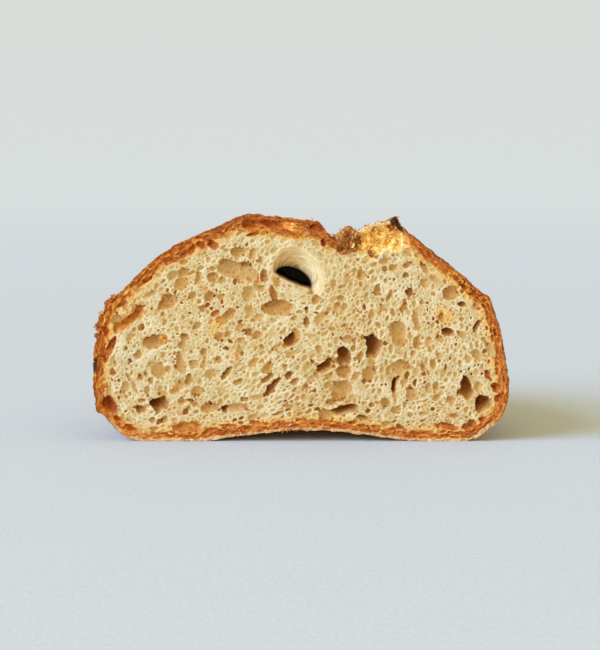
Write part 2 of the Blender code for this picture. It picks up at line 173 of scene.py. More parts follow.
TOASTED = (
    (-21.4, 93.4, 7.8, 3.6, 3, 3.5), (-11, 93.5, 13.5, 3.8, -8, 3.5), (5.2, 92.8, 4.8, 3.4, 0, 3),
    (-82.7, 39.9, 13.8, 3, 65, 4.5), (-82.3, 15.1, 7.3, 5, -55, 5), (-79, 9, 4.3, 2.6, -50, 3.5),
    (-73.8, 5.2, 6.5, 3, -35, 4), (-83.5, 48.2, 2.6, 2.6, 0, 3), (-85.9, 15.4, 1.7, 4.3, 0, 3),
    (-55.1, 77.9, 7.8, 2, 27, 4.5), (-48.5, 81.2, 7.8, 2.4, 28, 3.5), (-46, 82.1, 5.2, 3, 35, 3),
    (-41.9, 84.5, 3.9, 3, 0, 3.5), (-36.7, 85, 4.3, 3.4, 0, 4.5), (-43.3, 88.3, 3.4, 1.7, 20, 2.5),
    (-35, 90.3, 4.7, 1.7, 10, 2.5), (-23.8, 93.8, 3.4, 2.2, 0, 5), (-16.6, 94, 2.2, 1.6, 0, 4.5),
    (-5.6, 91, 8.6, 1.6, -12, 4), (-20.9, 89.4, 6.5, 1.7, 8, 5), (4.7, 92, 3.2, 2.4, 0, 4),
    (9.7, 86, 2.2, 3, 0, 4), (-31.8, 7.1, 8.6, 1.1, 0, 2), (-19.7, 8.2, 4.3, 1.5, 0, 4),
    (-23, 5.7, 3.9, 2.2, 0, 2.5), (-14.3, 7.6, 3.4, 1.1, 0, 3), (63.7, 6, 9.5, 2.4, 0, 4),
    (73, 7.1, 7.3, 3.4, 15, 4.5), (79.5, 9.2, 3.4, 2.2, 25, 3), (80.7, 28.9, 2.6, 3.4, 0, 5),
    (81.3, 34.6, 1.3, 2.2, 0, 3), (84.3, 23, 3.4, 3.9, 0, 5), (85.5, 18.4, 3, 3.9, 0, 5),
    (78.7, 58.6, 3.9, 1.7, -60, 6), (80.2, 53.2, 1.5, 1.9, 0, 5), (73.5, 64, 2.6, 1.7, -30, 3),
    (70.2, 67, 2.2, 3.4, 40, 3), (-83.9, 56.5, 4, 1.6, 60, 3), (-80.6, 61.4, 4, 1.6, 48, 3),
    (54, 79.6, 3.2, 1.7, -40, 3), (62.6, 73, 3.4, 1.5, -40, 3), (18.8, 82.3, 3.6, 2.4, 70, 5),
    (30.2, 81.4, 3, 1.4, 20, 4),
)
BLACK = ((41.4, 24.3, 8.4, 2.4, 72, 9), (29.2, 44.8, 3.2, 1.8, -35, 7), (-32.3, 13.9, 3.6, 2.2, 30, 7))
# How a pocket opens: how far its middle lies in front of the cut, as a share of its depth, or behind it where
# that is below 0, its depth as a share of its width, how baked it is inside, and how strongly its inside is
# darkened with depth, which is painted shade
DEEP = (-0.2, 1.0, 0.1, 1.0)
DISH = (0.2, 0.3, 0.05, 0.3)
WARM = (-0.1, 0.8, 0.7, 0.3)
BAKED = (-0.15, 0.8, 1.0, 0.5)
OPEN = (-0.3, 4, 0.2, 2.0)
LEAN = 0.55
# Small bubbles, by half length. Large ones come in the first share of the tries only, and the rest are fine
FINEST, FINE, LARGE = 0.55, 1.15, 2.3
BUBBLE_TRIES = 220000
LARGE_SHARE = 0.06
BUBBLE_GAP = 0.12
# Fine bubbles whose own random number is above this are deeper than the rest, with a darker gold inside that
# is painted shade
DEEP_SHARE = 0.93
# Bubbles above OWN_HOLLOW in half length are hollowed out one by one. Finer ones grow by CELL_GROWTH, and
# thin walls are left between them
OWN_HOLLOW = 1.45
CELL_GROWTH, WALL = 0.5, 0.14
# The most quads in one piece of crumb
MOST_QUADS = 95000
# How far the shading of the fine relief leans towards the front, as where light soaks through thin walls
SOFTEN = 0.6
# Bubbles nearer to the outline than this are baked
CRUST_BAND = 4.3
# Crumb this near to the outline and this far back can't be seen for the crust, and is left out
HIDDEN_RIM, HIDDEN_BACK = 1.2, 2.5
# Where the dough was stretched: middle x and z, reach across and up, tilt and strength
STRETCHED = ((44, 45, 16, 26, 84, 0.8), (-12, 28, 22, 14, 38, 0.7))
# The ring of stretched bubbles round the tunnel: middle x and z, radius and thickness
SWIRL = (0, 73, 15, 9)

# Tones of the broken bits, darkest first
FLAKE_SHADES = ((112, 46, 12), (172, 90, 34), (206, 128, 62), (230, 168, 100))
GOLD_SHADES = ((226, 124, 34), (246, 176, 70), (255, 212, 116), (255, 232, 160))
BURNT_SHADES = ((38, 18, 8), (66, 34, 16), (104, 56, 26), (150, 92, 46))
BROWN_SHADES = ((104, 46, 14), (164, 92, 36), (202, 134, 66), (232, 182, 112))

# Patches of colour on the cut, as middle, half length, half width and tilt. In the first the crust is thicker
THICK_CRUST, THICKER = (-9, 93, 20, 6.5, -4), 3.4
GREY = (-75, 36.5, 5.5, 6, 0)
YELLOW = ((-36.7, 50, 6, 3.5, 60), (62, 55, 6, 4, -40))
TORN = ((29.5, 87.5, 8.2, 7, -15), (39.5, 87, 5, 4.6, -40), (34, 92, 7, 4, 10))
MOUND = ((20.2, 87.6, 4.8, 5.4, 0), (17.6, 84.4, 2, 2.4, -30))
EAR = ((40.6, 95.6, 2.2, 1, -50),)
# The torn bed leans back above this height, by this much for each millimetre
TORN_FOOT, TORN_LEAN = 82, 0.14
AMBER = ((43.4, 88.6, 3.2, 1.2, -48), (-3.6, 93.2, 5.2, 1.5, -8), (36.6, 92.4, 2.2, 1.3, 20))
HONEY = ((-74.6, 53.2, 8.2, 2.3, 41), (-49.7, 6.8, 6, 1.9, 6), (-54.4, 23, 1.3, 1.1, 0))
RUSSET = (
    (38.6, 92.6, 1.8, 1.4, 0), (29.8, 81.6, 1.9, 1, -40), (32.2, 80.1, 0.9, 0.8, 0),
    (9.6, 86.1, 1.2, 1.5, 0), (31.6, 91.9, 1.2, 1.2, 0), (8.4, 93.4, 2, 1.4, -30), (40, 93, 2.4, 1.6, -45),
    (-82.4, 16.2, 3.6, 2.1, -60),
)
BURNT = (
    (39.6, 95.2, 1.9, 1.3, -30), (42, 93, 2.4, 0.8, -48), (22.4, 85.2, 1, 1.3, 0), (-89.4, 33.7, 1.2, 3, 0),
)

# Bits in the crumb: x, z, size, and how far behind the cut
ORANGE_BITS = (
    (-59.8, 45.6, 2.6, 0.6), (-58.8, 44.2, 2.4, 0.6), (-28.4, 38, 2.2, 0.2), (-27.9, 36.2, 1.8, 0.2),
    (-19.6, 70.2, 2.4, 1.4), (-18.4, 69.8, 1.8, 1.4), (-25.2, 65.2, 1.3, 0.2), (-43, 67.4, 1.3, 0.2),
    (-41.6, 66.4, 1.2, 0.2), (-40, 65.6, 1.1, 0.2), (-54.4, 23, 1.7, 0.7), (23.2, 58.2, 1.2, 0.3),
)
DARK_BITS = (
    (30.8, 44.6, 1.3, 0.4), (29.6, 45.4, 0.9, 0), (32.6, 44.2, 0.8, 0.3), (-37.4, 63.3, 0.9, -0.1),
    (-75.5, 41.1, 0.7, 0), (-75.4, 31.4, 0.8, 0), (-77.2, 29.2, 0.5, 0), (-72.9, 35, 0.6, 0),
)
PALE_BITS = (
    (-4.5, 7.2, 0.8, -0.1), (70.4, 31, 1, 0), (71.8, 29.4, 0.9, 0), (69, 32.3, 0.8, 0),
    (34.4, 80.4, 1.4, 0),
)

# The camera, in millimetres and degrees: what it sees at the cut, from how far off and from how high
VIEW_WIDTH = 258.7
VIEW_MIDDLE = (-0.5, 50.8)
VIEW_DISTANCE = 740
VIEW_ELEVATION = 6.5
SENSOR = 36
# The studio, in metres and degrees
ROOM_RADIUS = 3.0
ROOM_NEAR = (210, 217, 220)
ROOM_LOW = (216, 222, 221)
ROOM_HIGH = (217, 221, 218)
WARM_ROOM = (227, 217, 176)
KEY_SIDE = (-1.2, -0.48, 0.71)
KEY_SPREAD, KEY_STRENGTH = 42, 4.1
KEY_COLOUR = (0.47, 0.65, 1.04)
FILL_PLACE, FILL_SIZE, FILL_POWER = (-0.5, -1.6, 0.35), 1.4, 9
GROUND_LOW, GROUND_HIGH = (196, 200, 205), (204, 208, 213)


def smooth(a, b, value):
    """0 below a, 1 above b, and an even turn between, for a number or an array."""
    t = np.clip((value - a) / (b - a), 0, 1)
    return t * t * (3 - 2 * t)


def noise_at(places, size, seed):
    """Smooth noise from -1 to 1 at places (n, 3), with bumps about as wide as size."""
    at = places / size
    low = np.floor(at.min(axis=0)).astype(int) - 1
    count = np.ceil(at.max(axis=0)).astype(int) - low + 2
    lattice = np.random.default_rng(seed).uniform(-1, 1, count).astype(np.float32)
    cell = np.floor(at).astype(int)
    part = at - cell
    part = (part * part * (3 - 2 * part)).astype(np.float32)
    cell -= low
    found = np.zeros(len(places), np.float32)
    for corner in np.ndindex(2, 2, 2):
        weight = np.prod([part[:, k] if corner[k] else 1 - part[:, k] for k in range(3)], axis=0)
        found += weight * lattice[tuple((cell + corner).T)]
    return found


def stretched(coarse, axis, at):
    """A coarse grid read along one axis at fractional places, by a smooth cubic blend."""
    cell = np.floor(at).astype(int)
    t = at - cell
    blend = np.zeros((len(at), coarse.shape[axis]), np.float32)
    weights = ((1 - t) ** 3, 3 * t**3 - 6 * t**2 + 4, -3 * t**3 + 3 * t**2 + 3 * t + 1, t**3)
    for k, weight in enumerate(weights):
        blend[np.arange(len(at)), cell + k] += weight / 6
    return np.moveaxis(np.tensordot(blend, coarse, axes=(1, axis)), 0, axis)


def noise_grid(axes, size, seed):
    """Smooth noise, about -1 to 1, on the grid whose places along each axis are given."""
    places = [(axis - axis[0]) / size for axis in axes]
    count = [int(place[-1]) + 5 for place in places]
    found = np.random.default_rng(seed).uniform(-2, 2, count).astype(np.float32)
    for k, place in enumerate(places):
        found = stretched(found, k, place)
    return found


def layered(axes, *layers):
    """Several noises on one grid, added up. layers are (height, size, seed)."""
    return sum(height * noise_grid(axes, size, seed) for height, size, seed in layers)


def unit(vectors):
    """The vectors at length 1."""
    return vectors / np.maximum(np.linalg.norm(vectors, axis=-1, keepdims=True), 1e-9)


def between(value, start, full, fade, end):
    """1 from full to fade, and 0 before start and after end."""
    return smooth(start, full, value) * (1 - smooth(fade, end, value))


def through(points, samples):
    """A curve through the points, as a Catmull-Rom spline with open ends."""
    points = np.array((points[0], *points, points[-1]), float)
    t = np.arange(samples)[:, None] / samples
    curve = []
    for before, start, end, after in zip(points, points[1:], points[2:], points[3:]):
        curve.append(
            0.5
            * (
                2 * start
                + (end - before) * t
                + (2 * before - 5 * start + 4 * end - after) * t**2
                + (3 * start - before - 3 * end + after) * t**3
            )
        )
    return np.concatenate((*curve, points[-1:]))


def evenly(curve, step):
    """The curve's places, about step apart."""
    run = np.concatenate(([0], np.cumsum(np.hypot(*np.diff(curve, axis=0).T))))
    at = np.linspace(0, run[-1], int(run[-1] / step) + 1)
    return np.stack([np.interp(at, run, curve[:, k]) for k in range(2)], axis=1)


def outline_columns():
    """The plain outline of the cut as columns of the crust: round the dome, then back along the base."""
    curve = through(OUTLINE, 24)
    curve[:, 0] -= (curve[:, 0].min() + curve[:, 0].max()) / 2
    curve[:, 0] *= WIDTH / np.ptp(curve[:, 0])
    curve[:, 1] *= HEIGHT / curve[:, 1].max()
    dome = evenly(curve, COLUMN_STEP)
    base = evenly(np.array((dome[-1], dome[0])), BASE_STEP)
    return np.concatenate((dome, base[1:-1])), len(dome)


def rounded(t, roundness):
    """How much of a section is left at t, from 0 at the cut to 1 at the far end."""
    return np.maximum(1 - t**roundness, 0) ** (1 / roundness)


def lofted(columns, t):
    """The plain dome: rows of the outline's columns, shrunk towards the pole. Y counts from the cut."""
    t = t[:, None]
    x = columns[:, 0] * rounded(t, SIDE_ROUNDNESS) + END_DRIFT * t * t * rounded(t, SIDE_ROUNDNESS)
    above = columns[:, 1] - POLE_HEIGHT
    left = np.where(above > 0, rounded(t, TOP_ROUNDNESS), rounded(t, BASE_ROUNDNESS))
    return np.stack((x, DEPTH * t + 0 * x, POLE_HEIGHT + above * left), axis=2)


def surface_normals(places):
    """Outward normals of rows of places whose columns run clockwise round the cut."""
    across = np.roll(places, -1, axis=1) - np.roll(places, 1, axis=1)
    along = np.gradient(places, axis=0)
    return unit(np.cross(across, along))


def score_place(columns, t):
    """Where each column lies across the score: 0 at its left lip and 1 at its ear; far off it, 9."""
    middle = (SCORE_LEFT + SCORE_RIGHT) / 2 + SCORE_DRIFT * t[:, None]
    half = (SCORE_RIGHT - SCORE_LEFT) / 2 * rounded(np.minimum(t / SCORE_LENGTH, 0.9999), 2)[:, None]
    place = (columns[:, 0] - middle) / half / 2 + 0.5
    return np.where((columns[:, 1] > HEIGHT / 2) & (t[:, None] < SCORE_LENGTH), place, 9)


def arch(x, t):
    """How far the base is lifted off the ground: most at the cut, and not at all at the feet."""
    half = np.where(x < ARCH_TOP, ARCH_LEFT - ARCH_TOP, ARCH_RIGHT - ARCH_TOP)
    along = np.minimum(np.abs((x - ARCH_TOP) / half), 1)
    return ARCH_RISE * (1 + np.cos(math.pi * along)) / 2 * (1 - smooth(0, ARCH_REACH, t))


def crust_places():
    """The crust's rows of places with all their relief, and the marks that its material reads."""
    columns, dome = outline_columns()
    t = np.sin(math.pi / 2 * np.arange(ROWS) / ROWS)
    plain = lofted(columns, t)
    normal = surface_normals(plain)
    flat = plain.reshape(-1, 3)
    shape = plain.shape[:2]

    def noise(size, seed):
        return noise_at(flat, size, seed).reshape(shape)

    y = plain[:, :, 1]
    fade = smooth(0, RELIEF_START, y) * (1 - smooth(0.93, 1, t))[:, None]
    out = -fade * SWELL * (0.5 + 0.5 * noise(SWELL_SIZE, 1))
    out -= fade * BLISTER * (0.5 + 0.5 * noise(BLISTER_SIZE, 2))
    blisters = np.maximum(noise(4.5, 3) - 0.35, 0) * smooth(0, 8, y)
    out += 1.5 * blisters + 0.28 * noise(2.6, 4) + 0.16 * noise(1.3, 5)
    for x, z, rise in SHOULDERS:
        away = np.linalg.norm(plain - np.array((x, SHOULDER_BACK, z)), axis=2)
        out += rise * (1 - smooth(0, SHOULDER_SIZE, away))
    flaky = flaky_shoulder(plain)
    out += flaky * (0.5 + 1.1 * noise(2.2, 6) + 0.7 * noise(1.2, 7))
    place = score_place(columns, t)
    closing = (1 - smooth(0.5, 1, t / SCORE_LENGTH))[:, None]
    in_score = between(place, -0.03, 0.05, 0.93, 1.0)
    depths = np.interp(np.clip(place, 0, 1), *np.array(SCORE_PROFILE).T)
    torn = 0.9 * noise(3.5, 8) + 0.9 * noise(1.8, 9) + 0.5 * noise(1.0, 10)
    out += closing * (in_score * torn * (0.35 + 0.65 * smooth(0, 4, y)) - depths)
    ear = np.maximum(1 - np.abs(place - 1.05) / 0.1, 0)
    out += closing * ear * (1.5 + 0.8 * noise(4, 11)) * smooth(0, 9, y)
    places = plain + normal * out[:, :, None]
    under = np.arange(shape[1]) >= dome
    places[:, under, 2] = np.maximum(plain[:, under, 2], 0) + arch(plain[:, under, 0], t[:, None])
    places[:, under, 2] += np.abs(noise(2.2, 12)[:, under]) * 0.25 * smooth(0, 1, places[:, under, 2])
    places[:, :, 2] = np.maximum(places[:, :, 2], 0)
    places[:, :, 1] = np.maximum(places[:, :, 1], 0)
    places[0, :, 1] = 0
    marks = {
        "score": in_score * closing,
        "ear": ear * closing,
        "flaky": flaky,
        "under": np.broadcast_to(smooth(12, 2, plain[:, :, 2]), shape),
        "bright": 1 - dark_edge(plain),
        "blister": blisters,
        "back": y / DEPTH,
    }
    return places, marks


def dark_edge(places):
    """1 where the crust is scorched right up to the cut: on the crown and down the slope right of the ear."""
    x = places[..., 0]
    return (between(x, *SCORCHED_CROWN) + between(x, *SCORCHED_SLOPE)) * (places[..., 2] > HEIGHT / 2)


def flaky_shoulder(places):
    """1 where the crust near the cut's left shoulder is broken into flakes, and 0 away from it."""
    away_x, away_z = places[..., 0] - FLAKY_PLACE[0], places[..., 2] - FLAKY_PLACE[1]
    along = away_x * FLAKY_WAY[0] + away_z * FLAKY_WAY[1]
    inside = 1 - smooth(9, 13, np.abs(along))
    return inside * (places[..., 0] < 0) * (1 - smooth(6, 14, places[..., 1]))


def outline_distance(outline, x, z):
    """How far the cut's plane lies from the closed outline, less than 0 inside, and the run along it."""
    px, pz = np.meshgrid(x, z, indexing="ij")
    best = np.full(px.shape, 1e9)
    inside = np.zeros(px.shape, bool)
    run, nearest = 0.0, np.zeros(px.shape)
    for (ax, az), (bx, bz) in zip(outline, np.roll(outline, -1, axis=0)):
        ex, ez = bx - ax, bz - az
        along = np.clip(((px - ax) * ex + (pz - az) * ez) / max(ex * ex + ez * ez, 1e-9), 0, 1)
        away = (px - ax - along * ex) ** 2 + (pz - az - along * ez) ** 2
        closer = away < best
        best[closer] = away[closer]
        nearest[closer] = run + (along * math.hypot(ex, ez))[closer]
        run += math.hypot(ex, ez)
        if az != bz:
            inside ^= ((az > pz) != (bz > pz)) & (px < ax + (pz - az) / (bz - az) * ex)
    away = np.sqrt(best)
    return np.where(inside, -away, away), nearest


def tilted(x, z, middle_x, middle_z, tilt):
    """Places in the cut's plane, in axes turned by tilt degrees about a middle."""
    turn = math.radians(tilt)
    along = (x - middle_x) * math.cos(turn) + (z - middle_z) * math.sin(turn)
    across = (z - middle_z) * math.cos(turn) - (x - middle_x) * math.sin(turn)
    return along, across


def egg(x, z, pocket):
    """How far places lie out from a pocket's middle: 1 at its rim."""
    middle_x, middle_z, length, width, tilt = pocket
    along, across = tilted(x, z, middle_x, middle_z, tilt)
    return np.hypot(along / length, across / width)


def nearest_egg(x, z, eggs):
    """How far places lie out from the nearest of several eggs: 1 at its rim."""
    return functools.reduce(np.minimum, (egg(x, z, one) for one in eggs))


def egg_distance(x, z, pocket):
    """About how far places lie from a pocket's rim, less than 0 inside it."""
    middle_x, middle_z, length, width, tilt = pocket
    along, across = tilted(x, z, middle_x, middle_z, tilt)
    near = np.hypot(along / length, across / width)
    slope = np.hypot(along / length**2, across / width**2)
    return near * (near - 1) / np.maximum(slope, 1e-6)


def funnel_depth(x, z):
    """How far the smooth mouth of the tunnel sinks below the cut. Its floor is a sharp ledge."""
    outer, inner = egg(x, z, FUNNEL), egg(x, z, THROAT)
    share = np.clip((1 - outer) / np.maximum(1 - outer + np.maximum(inner - 1, 0), 1e-6), 0, 1)
    return FUNNEL_DEPTH * share**1.5 * above_ledge(x, z)


def above_ledge(x, z):
    """1 above the tunnel's floor and 0 below it, with a bow along the floor."""
    along, across = tilted(x, z, THROAT[0], THROAT[1], THROAT[4])
    floor = THROAT_FLOOR - LEDGE_BOW * np.cos(np.clip(along / THROAT[2], -1, 1) * math.pi / 2)
    floor = floor - np.maximum(along - THROAT[2] * 0.9, 0) * 0.9
    return smooth(-0.3, 0.4, across - floor)


class Crumb:
    """The crumb behind the cut, on a grid of cells: its field is below 0 in bread and above 0 in air."""

    def __init__(self, outline):
        self.x = np.arange(-WIDTH / 2 - MARGIN, WIDTH / 2 + MARGIN, STEP)
        self.y = np.arange(-FRONT_MARGIN, BACK, STEP_BACK)
        self.z = np.arange(-LOW_MARGIN, HEIGHT + MARGIN, STEP)
        self.axes = (self.x, self.y, self.z)
        self.steps = np.array((STEP, STEP_BACK, STEP))
        self.flat_x, self.flat_z = np.meshgrid(self.x, self.z, indexing="ij")
        self.edge, self.run = outline_distance(outline, self.x, self.z)
        self.slope = np.gradient(self.edge, STEP)
        flat = (self.x, self.z)
        rough = layered(flat, (0.03, 1.1, 21), (0.08, 3, 22), (0.3, 10, 23))
        rough += smooth(-6, -3, self.edge) * layered(flat, (0.25, 1.2, 20), (0.15, 0.8, 19))
        self.front = rough + funnel_depth(self.flat_x, self.flat_z)
        self.front += score_sink(self.flat_x, self.flat_z) * smooth(0.2, 2.8, -self.edge)
        ragged = layered(flat, (0.25, 1.2, 24), (0.2, 2.5, 25))
        side = (self.edge + ragged * smooth(-2, 0, self.edge))[:, None, :]
        inset = (RIM_OUT + (RIM_INSET - RIM_OUT) * smooth(0.8, 2.4, self.y))[None, :, None]
        front = self.front[:, None, :] - self.y[None, :, None]
        self.field = np.maximum(side + inset, front).astype(np.float32)
        self.warp = [layered(self.axes, (0.5, 3.6, 27 + k), (0.16, 1.5, 37 + k)) for k in range(3)]
        self.owner = np.zeros(self.field.shape, np.int16)
        self.tones = [(0.0, 0.0, 0.0)]
        self.free = -self.edge - 0.4

    def window(self, middle, reach):
        """The slices of the grid that hold everything within reach of middle."""
        found = []
        for axis, step, place in zip(self.axes, self.steps, middle):
            start = max(int((place - reach - axis[0]) / step), 0)
            end = min(int((place + reach - axis[0]) / step) + 2, len(axis))
            found.append(slice(start, max(end, start + 1)))
        return tuple(found)

    def hollow(self, middle, sizes, tilt, tones, warp=1.6, lean=0.0):
        """Opens an egg-shaped bubble. sizes are half lengths along its tilt, into the loaf and across.

        tones say how baked and how golden it is inside, and how strongly it darkens with depth, which is
        painted shade. lean is how far it drifts up and to the left as it goes in, which leaves its lower
        right side open to the light.
        """
        w = self.window(middle, max(sizes) * (1 + 0.7 * lean) + 1.2)
        y = self.y[w[1]][None, :, None] + warp * self.warp[1][w]
        x = self.x[w[0]][:, None, None] + warp * self.warp[0][w] + lean * y
        z = self.z[w[2]][None, None, :] + warp * self.warp[2][w] - lean * y
        along, across = tilted(x, z, middle[0], middle[2], tilt)
        scaled = [along / sizes[0], (y - middle[1]) / sizes[1], across / sizes[2]]
        near = np.sqrt(sum(s * s for s in scaled))
        slope = np.sqrt(sum((s / size) ** 2 for s, size in zip(scaled, sizes)))
        air = -near * (near - 1) / np.maximum(slope, 1e-6)
        self.carve(w, air, tones)

    def carve(self, w, air, tones):
        """Opens a window of the grid where air is above 0 there, and notes the tones inside."""
        ours = air > self.field[w]
        self.field[w] = np.where(ours, air, self.field[w])
        self.owner[w] = np.where(ours, len(self.tones), self.owner[w])
        self.tones.append(tones)

    def occupy(self, room, x, z, length, width, tilt):
        """Keeps later small bubbles out of this place in the cut's plane."""
        w = self.window((x, 0, z), max(length, width) + 3)
        flat = (w[0], w[2])
        away = egg_distance(self.flat_x[flat], self.flat_z[flat], (x, z, length, width, tilt))
        room[flat] = np.minimum(room[flat], away)

    def foam(self, bubbles):
        """Lets fine bubbles grow until only thin walls part them, and sinks the surface into each one.

        bubbles are (x, z, length, width, tilt, depth, gold). Pockets' floors sink in the same way.
        """
        flat = (self.x, self.z)
        ripple = [layered(flat, (0.5, 2.1, 81 + k), (0.22, 0.9, 83 + k)) for k in range(2)]
        first = np.full(self.edge.shape, 9.0)
        second = first.copy()
        widths, depths, golds = np.ones_like(first), np.zeros_like(first), np.zeros_like(first)
        for x, z, length, width, tilt, depth, gold in bubbles:
            w = self.window((x, 0, z), max(length, width) + 1.6)
            at = (w[0], w[2])
            bubble_x, bubble_z = self.flat_x[at] + ripple[0][at], self.flat_z[at] + ripple[1][at]
            away = egg_distance(bubble_x, bubble_z, (x, z, length, width, tilt))
            closer = away < first[at]
            second[at] = np.where(closer, first[at], np.minimum(second[at], away))
            first[at] = np.where(closer, away, first[at])
            for there, value in ((widths, width), (depths, depth), (golds, gold)):
                there[at] = np.where(closer, value, there[at])
        wall = WALL * (1 + 1.3 * noise_grid(flat, 2.2, 85)) + 0.3 * np.maximum(noise_grid(flat, 7, 88), 0)
        inside = np.minimum((second - first) / 2 - wall / 2, CELL_GROWTH - first)
        share = smooth(0, 0.7, inside / widths)
        # Paler along the thin walls: partly their own tone, partly a painted highlight
        self.web_and_highlight = np.exp(-((inside / 0.2) ** 2))
        # Gold, random per cell, deepening toward each cell's middle where it sinks deepest: painted shade
        self.golden = golds * smooth(0, 0.5, inside / widths)
        count = len(self.y)
        back = np.clip(np.arange(count)[None, :, None] - (depths * share / STEP_BACK)[:, None, :], 0, None)
        low = back.astype(np.int32)
        part = (back - low).astype(np.float32)
        ahead = np.take_along_axis(self.field, low, axis=1)
        behind = np.take_along_axis(self.field, np.minimum(low + 1, count - 1), axis=1)
        self.field = ahead + (behind - ahead) * part
        self.owner = np.take_along_axis(self.owner, np.rint(back).astype(np.int32), axis=1)

    def grain(self, x, z):
        """The way that the dough was stretched here, as a tilt in degrees, and how much, from 1 up."""
        i, k = int((x - self.x[0]) / STEP), int((z - self.z[0]) / STEP)
        out = math.atan2(self.slope[1][i, k], self.slope[0][i, k])
        swirl_x, swirl_z, radius, thickness = SWIRL
        swirl = math.exp(-(((math.hypot(x - swirl_x, z - swirl_z) - radius) / thickness) ** 2))
        ways = [
            (out + math.pi / 2, float(np.exp(self.edge[i, k] / 9)) * 1.3),
            (math.atan2(z - swirl_z, x - swirl_x) + math.pi / 2, swirl),
        ]
        for middle_x, middle_z, across, up, tilt, strength in STRETCHED:
            near = math.exp(-(((x - middle_x) / across) ** 2) - ((z - middle_z) / up) ** 2)
            ways.append((math.radians(tilt), near * strength))
        along = sum(weight * math.cos(2 * way) for way, weight in ways)
        across = sum(weight * math.sin(2 * way) for way, weight in ways)
        return math.degrees(math.atan2(across, along) / 2), 1 + min(math.hypot(along, across), 1.3) * 0.75


def score_sink(x, z):
    """How far the torn bed of the score leans back from the cut, at the top right, with its shags."""
    axes = (x[:, 0], z[0])
    uneven = 0.2 * noise_grid(axes, 3, 60)
    torn = smooth(1.15, 0.75, nearest_egg(x, z, TORN) + uneven)
    mound = smooth(1.2, 0.8, nearest_egg(x, z, MOUND) + uneven)
    shag = 1.1 * np.abs(noise_grid(axes, 3.4, 61)) + 0.5 * np.abs(noise_grid(axes, 1.5, 62))
    lean = np.clip((z - TORN_FOOT) * TORN_LEAN, 0, 2)
    return torn * (0.2 + lean + 1.7 * shag) + mound * (0.2 + 2.2 * shag)


def carve_tunnel(crumb):
    """The tunnel itself: a half-moon with a flat floor, bending up a little as it goes back."""
    w = crumb.window((THROAT[0], TUNNEL_REACH / 2, THROAT[1]), TUNNEL_REACH)
    x = crumb.x[w[0]][:, None, None] + TUNNEL_WARP * crumb.warp[0][w]
    y = crumb.y[w[1]][None, :, None]
    z = crumb.z[w[2]][None, None, :] + TUNNEL_WARP * crumb.warp[2][w]
    along, across = tilted(x, z, THROAT[0], THROAT[1] + TUNNEL_RISE * y, THROAT[4])
    near = np.hypot((along + TUNNEL_SLANT * across) / THROAT[2], across / THROAT[3])
    arc = -(near - 1) * THROAT[3]
    bow = LEDGE_BOW * np.cos(np.clip(along / THROAT[2], -1, 1) * math.pi / 2)
    floor = across - THROAT_FLOOR + bow - 0.15 * np.sin(along * 1.1)
    end = (BACK - MARGIN) - y
    air = np.minimum(np.minimum(arc, floor), end).astype(np.float32)
    # Its inside darkens fully with depth, as painted shade
    crumb.carve(w, air, (0.1, 1.0, 0.3))


def carve_pockets(crumb):
    """The listed pockets, the larger ones with lobes of their own, so that none of them is a plain egg."""
    draw = np.random.default_rng(41)
    for group, kind in ((DARK, DEEP), (TAN, DISH), (GOLDEN, WARM), (TOASTED, BAKED), (BLACK, OPEN)):
        for pocket in group:
            carve_pocket(crumb, draw, pocket, kind)


def carve_pocket(crumb, draw, pocket, kind):
    """A hollow that is open to the light at the lower right, with smaller ones run into its side."""
    x, z, length, width, tilt, depth = pocket
    lift, bowl, toast, dark = kind
    small = min(length, width)
    into = min(0.35 + bowl * small, depth) / (1 - lift)
    spread = 1 / math.sqrt(1 - lift * lift)
    sizes = (length / 2 * spread, into, width / 2 * spread)
    crumb.hollow((x, -lift * into, z), sizes, tilt, (toast, dark, draw.uniform(0.35, 0.8)), 1.6, LEAN)
    crumb.occupy(crumb.free, x, z, length / 2, width / 2, tilt)
    if small > 2.1:
        add_lobes(crumb, draw, pocket, into, kind)


def add_lobes(crumb, draw, pocket, into, kind):
    """Smaller bubbles that have run into a pocket's side."""
    x, z, length, width, tilt, _ = pocket
    lift, _, toast, dark = kind
    turn = math.radians(tilt)
    for _ in range(2 if length * width < 30 else 4):
        way, share = draw.uniform(0, math.tau), draw.uniform(0.4, 0.65)
        out = draw.uniform(0.6, 0.85)
        along, across = out * length / 2 * math.cos(way), out * width / 2 * math.sin(way)
        at_x = x + along * math.cos(turn) - across * math.sin(turn)
        at_z = z + along * math.sin(turn) + across * math.cos(turn)
        size = share * min(length, width) / 2 * draw.uniform(0.9, 1.3)
        sizes = (size * draw.uniform(1, 1.4), into * draw.uniform(0.5, 0.9), size)
        tones = (toast, dark, draw.uniform(0.35, 0.8))
        crumb.hollow((at_x, -lift * sizes[1], at_z), sizes, tilt + draw.uniform(-40, 40), tones, 1.6, LEAN)


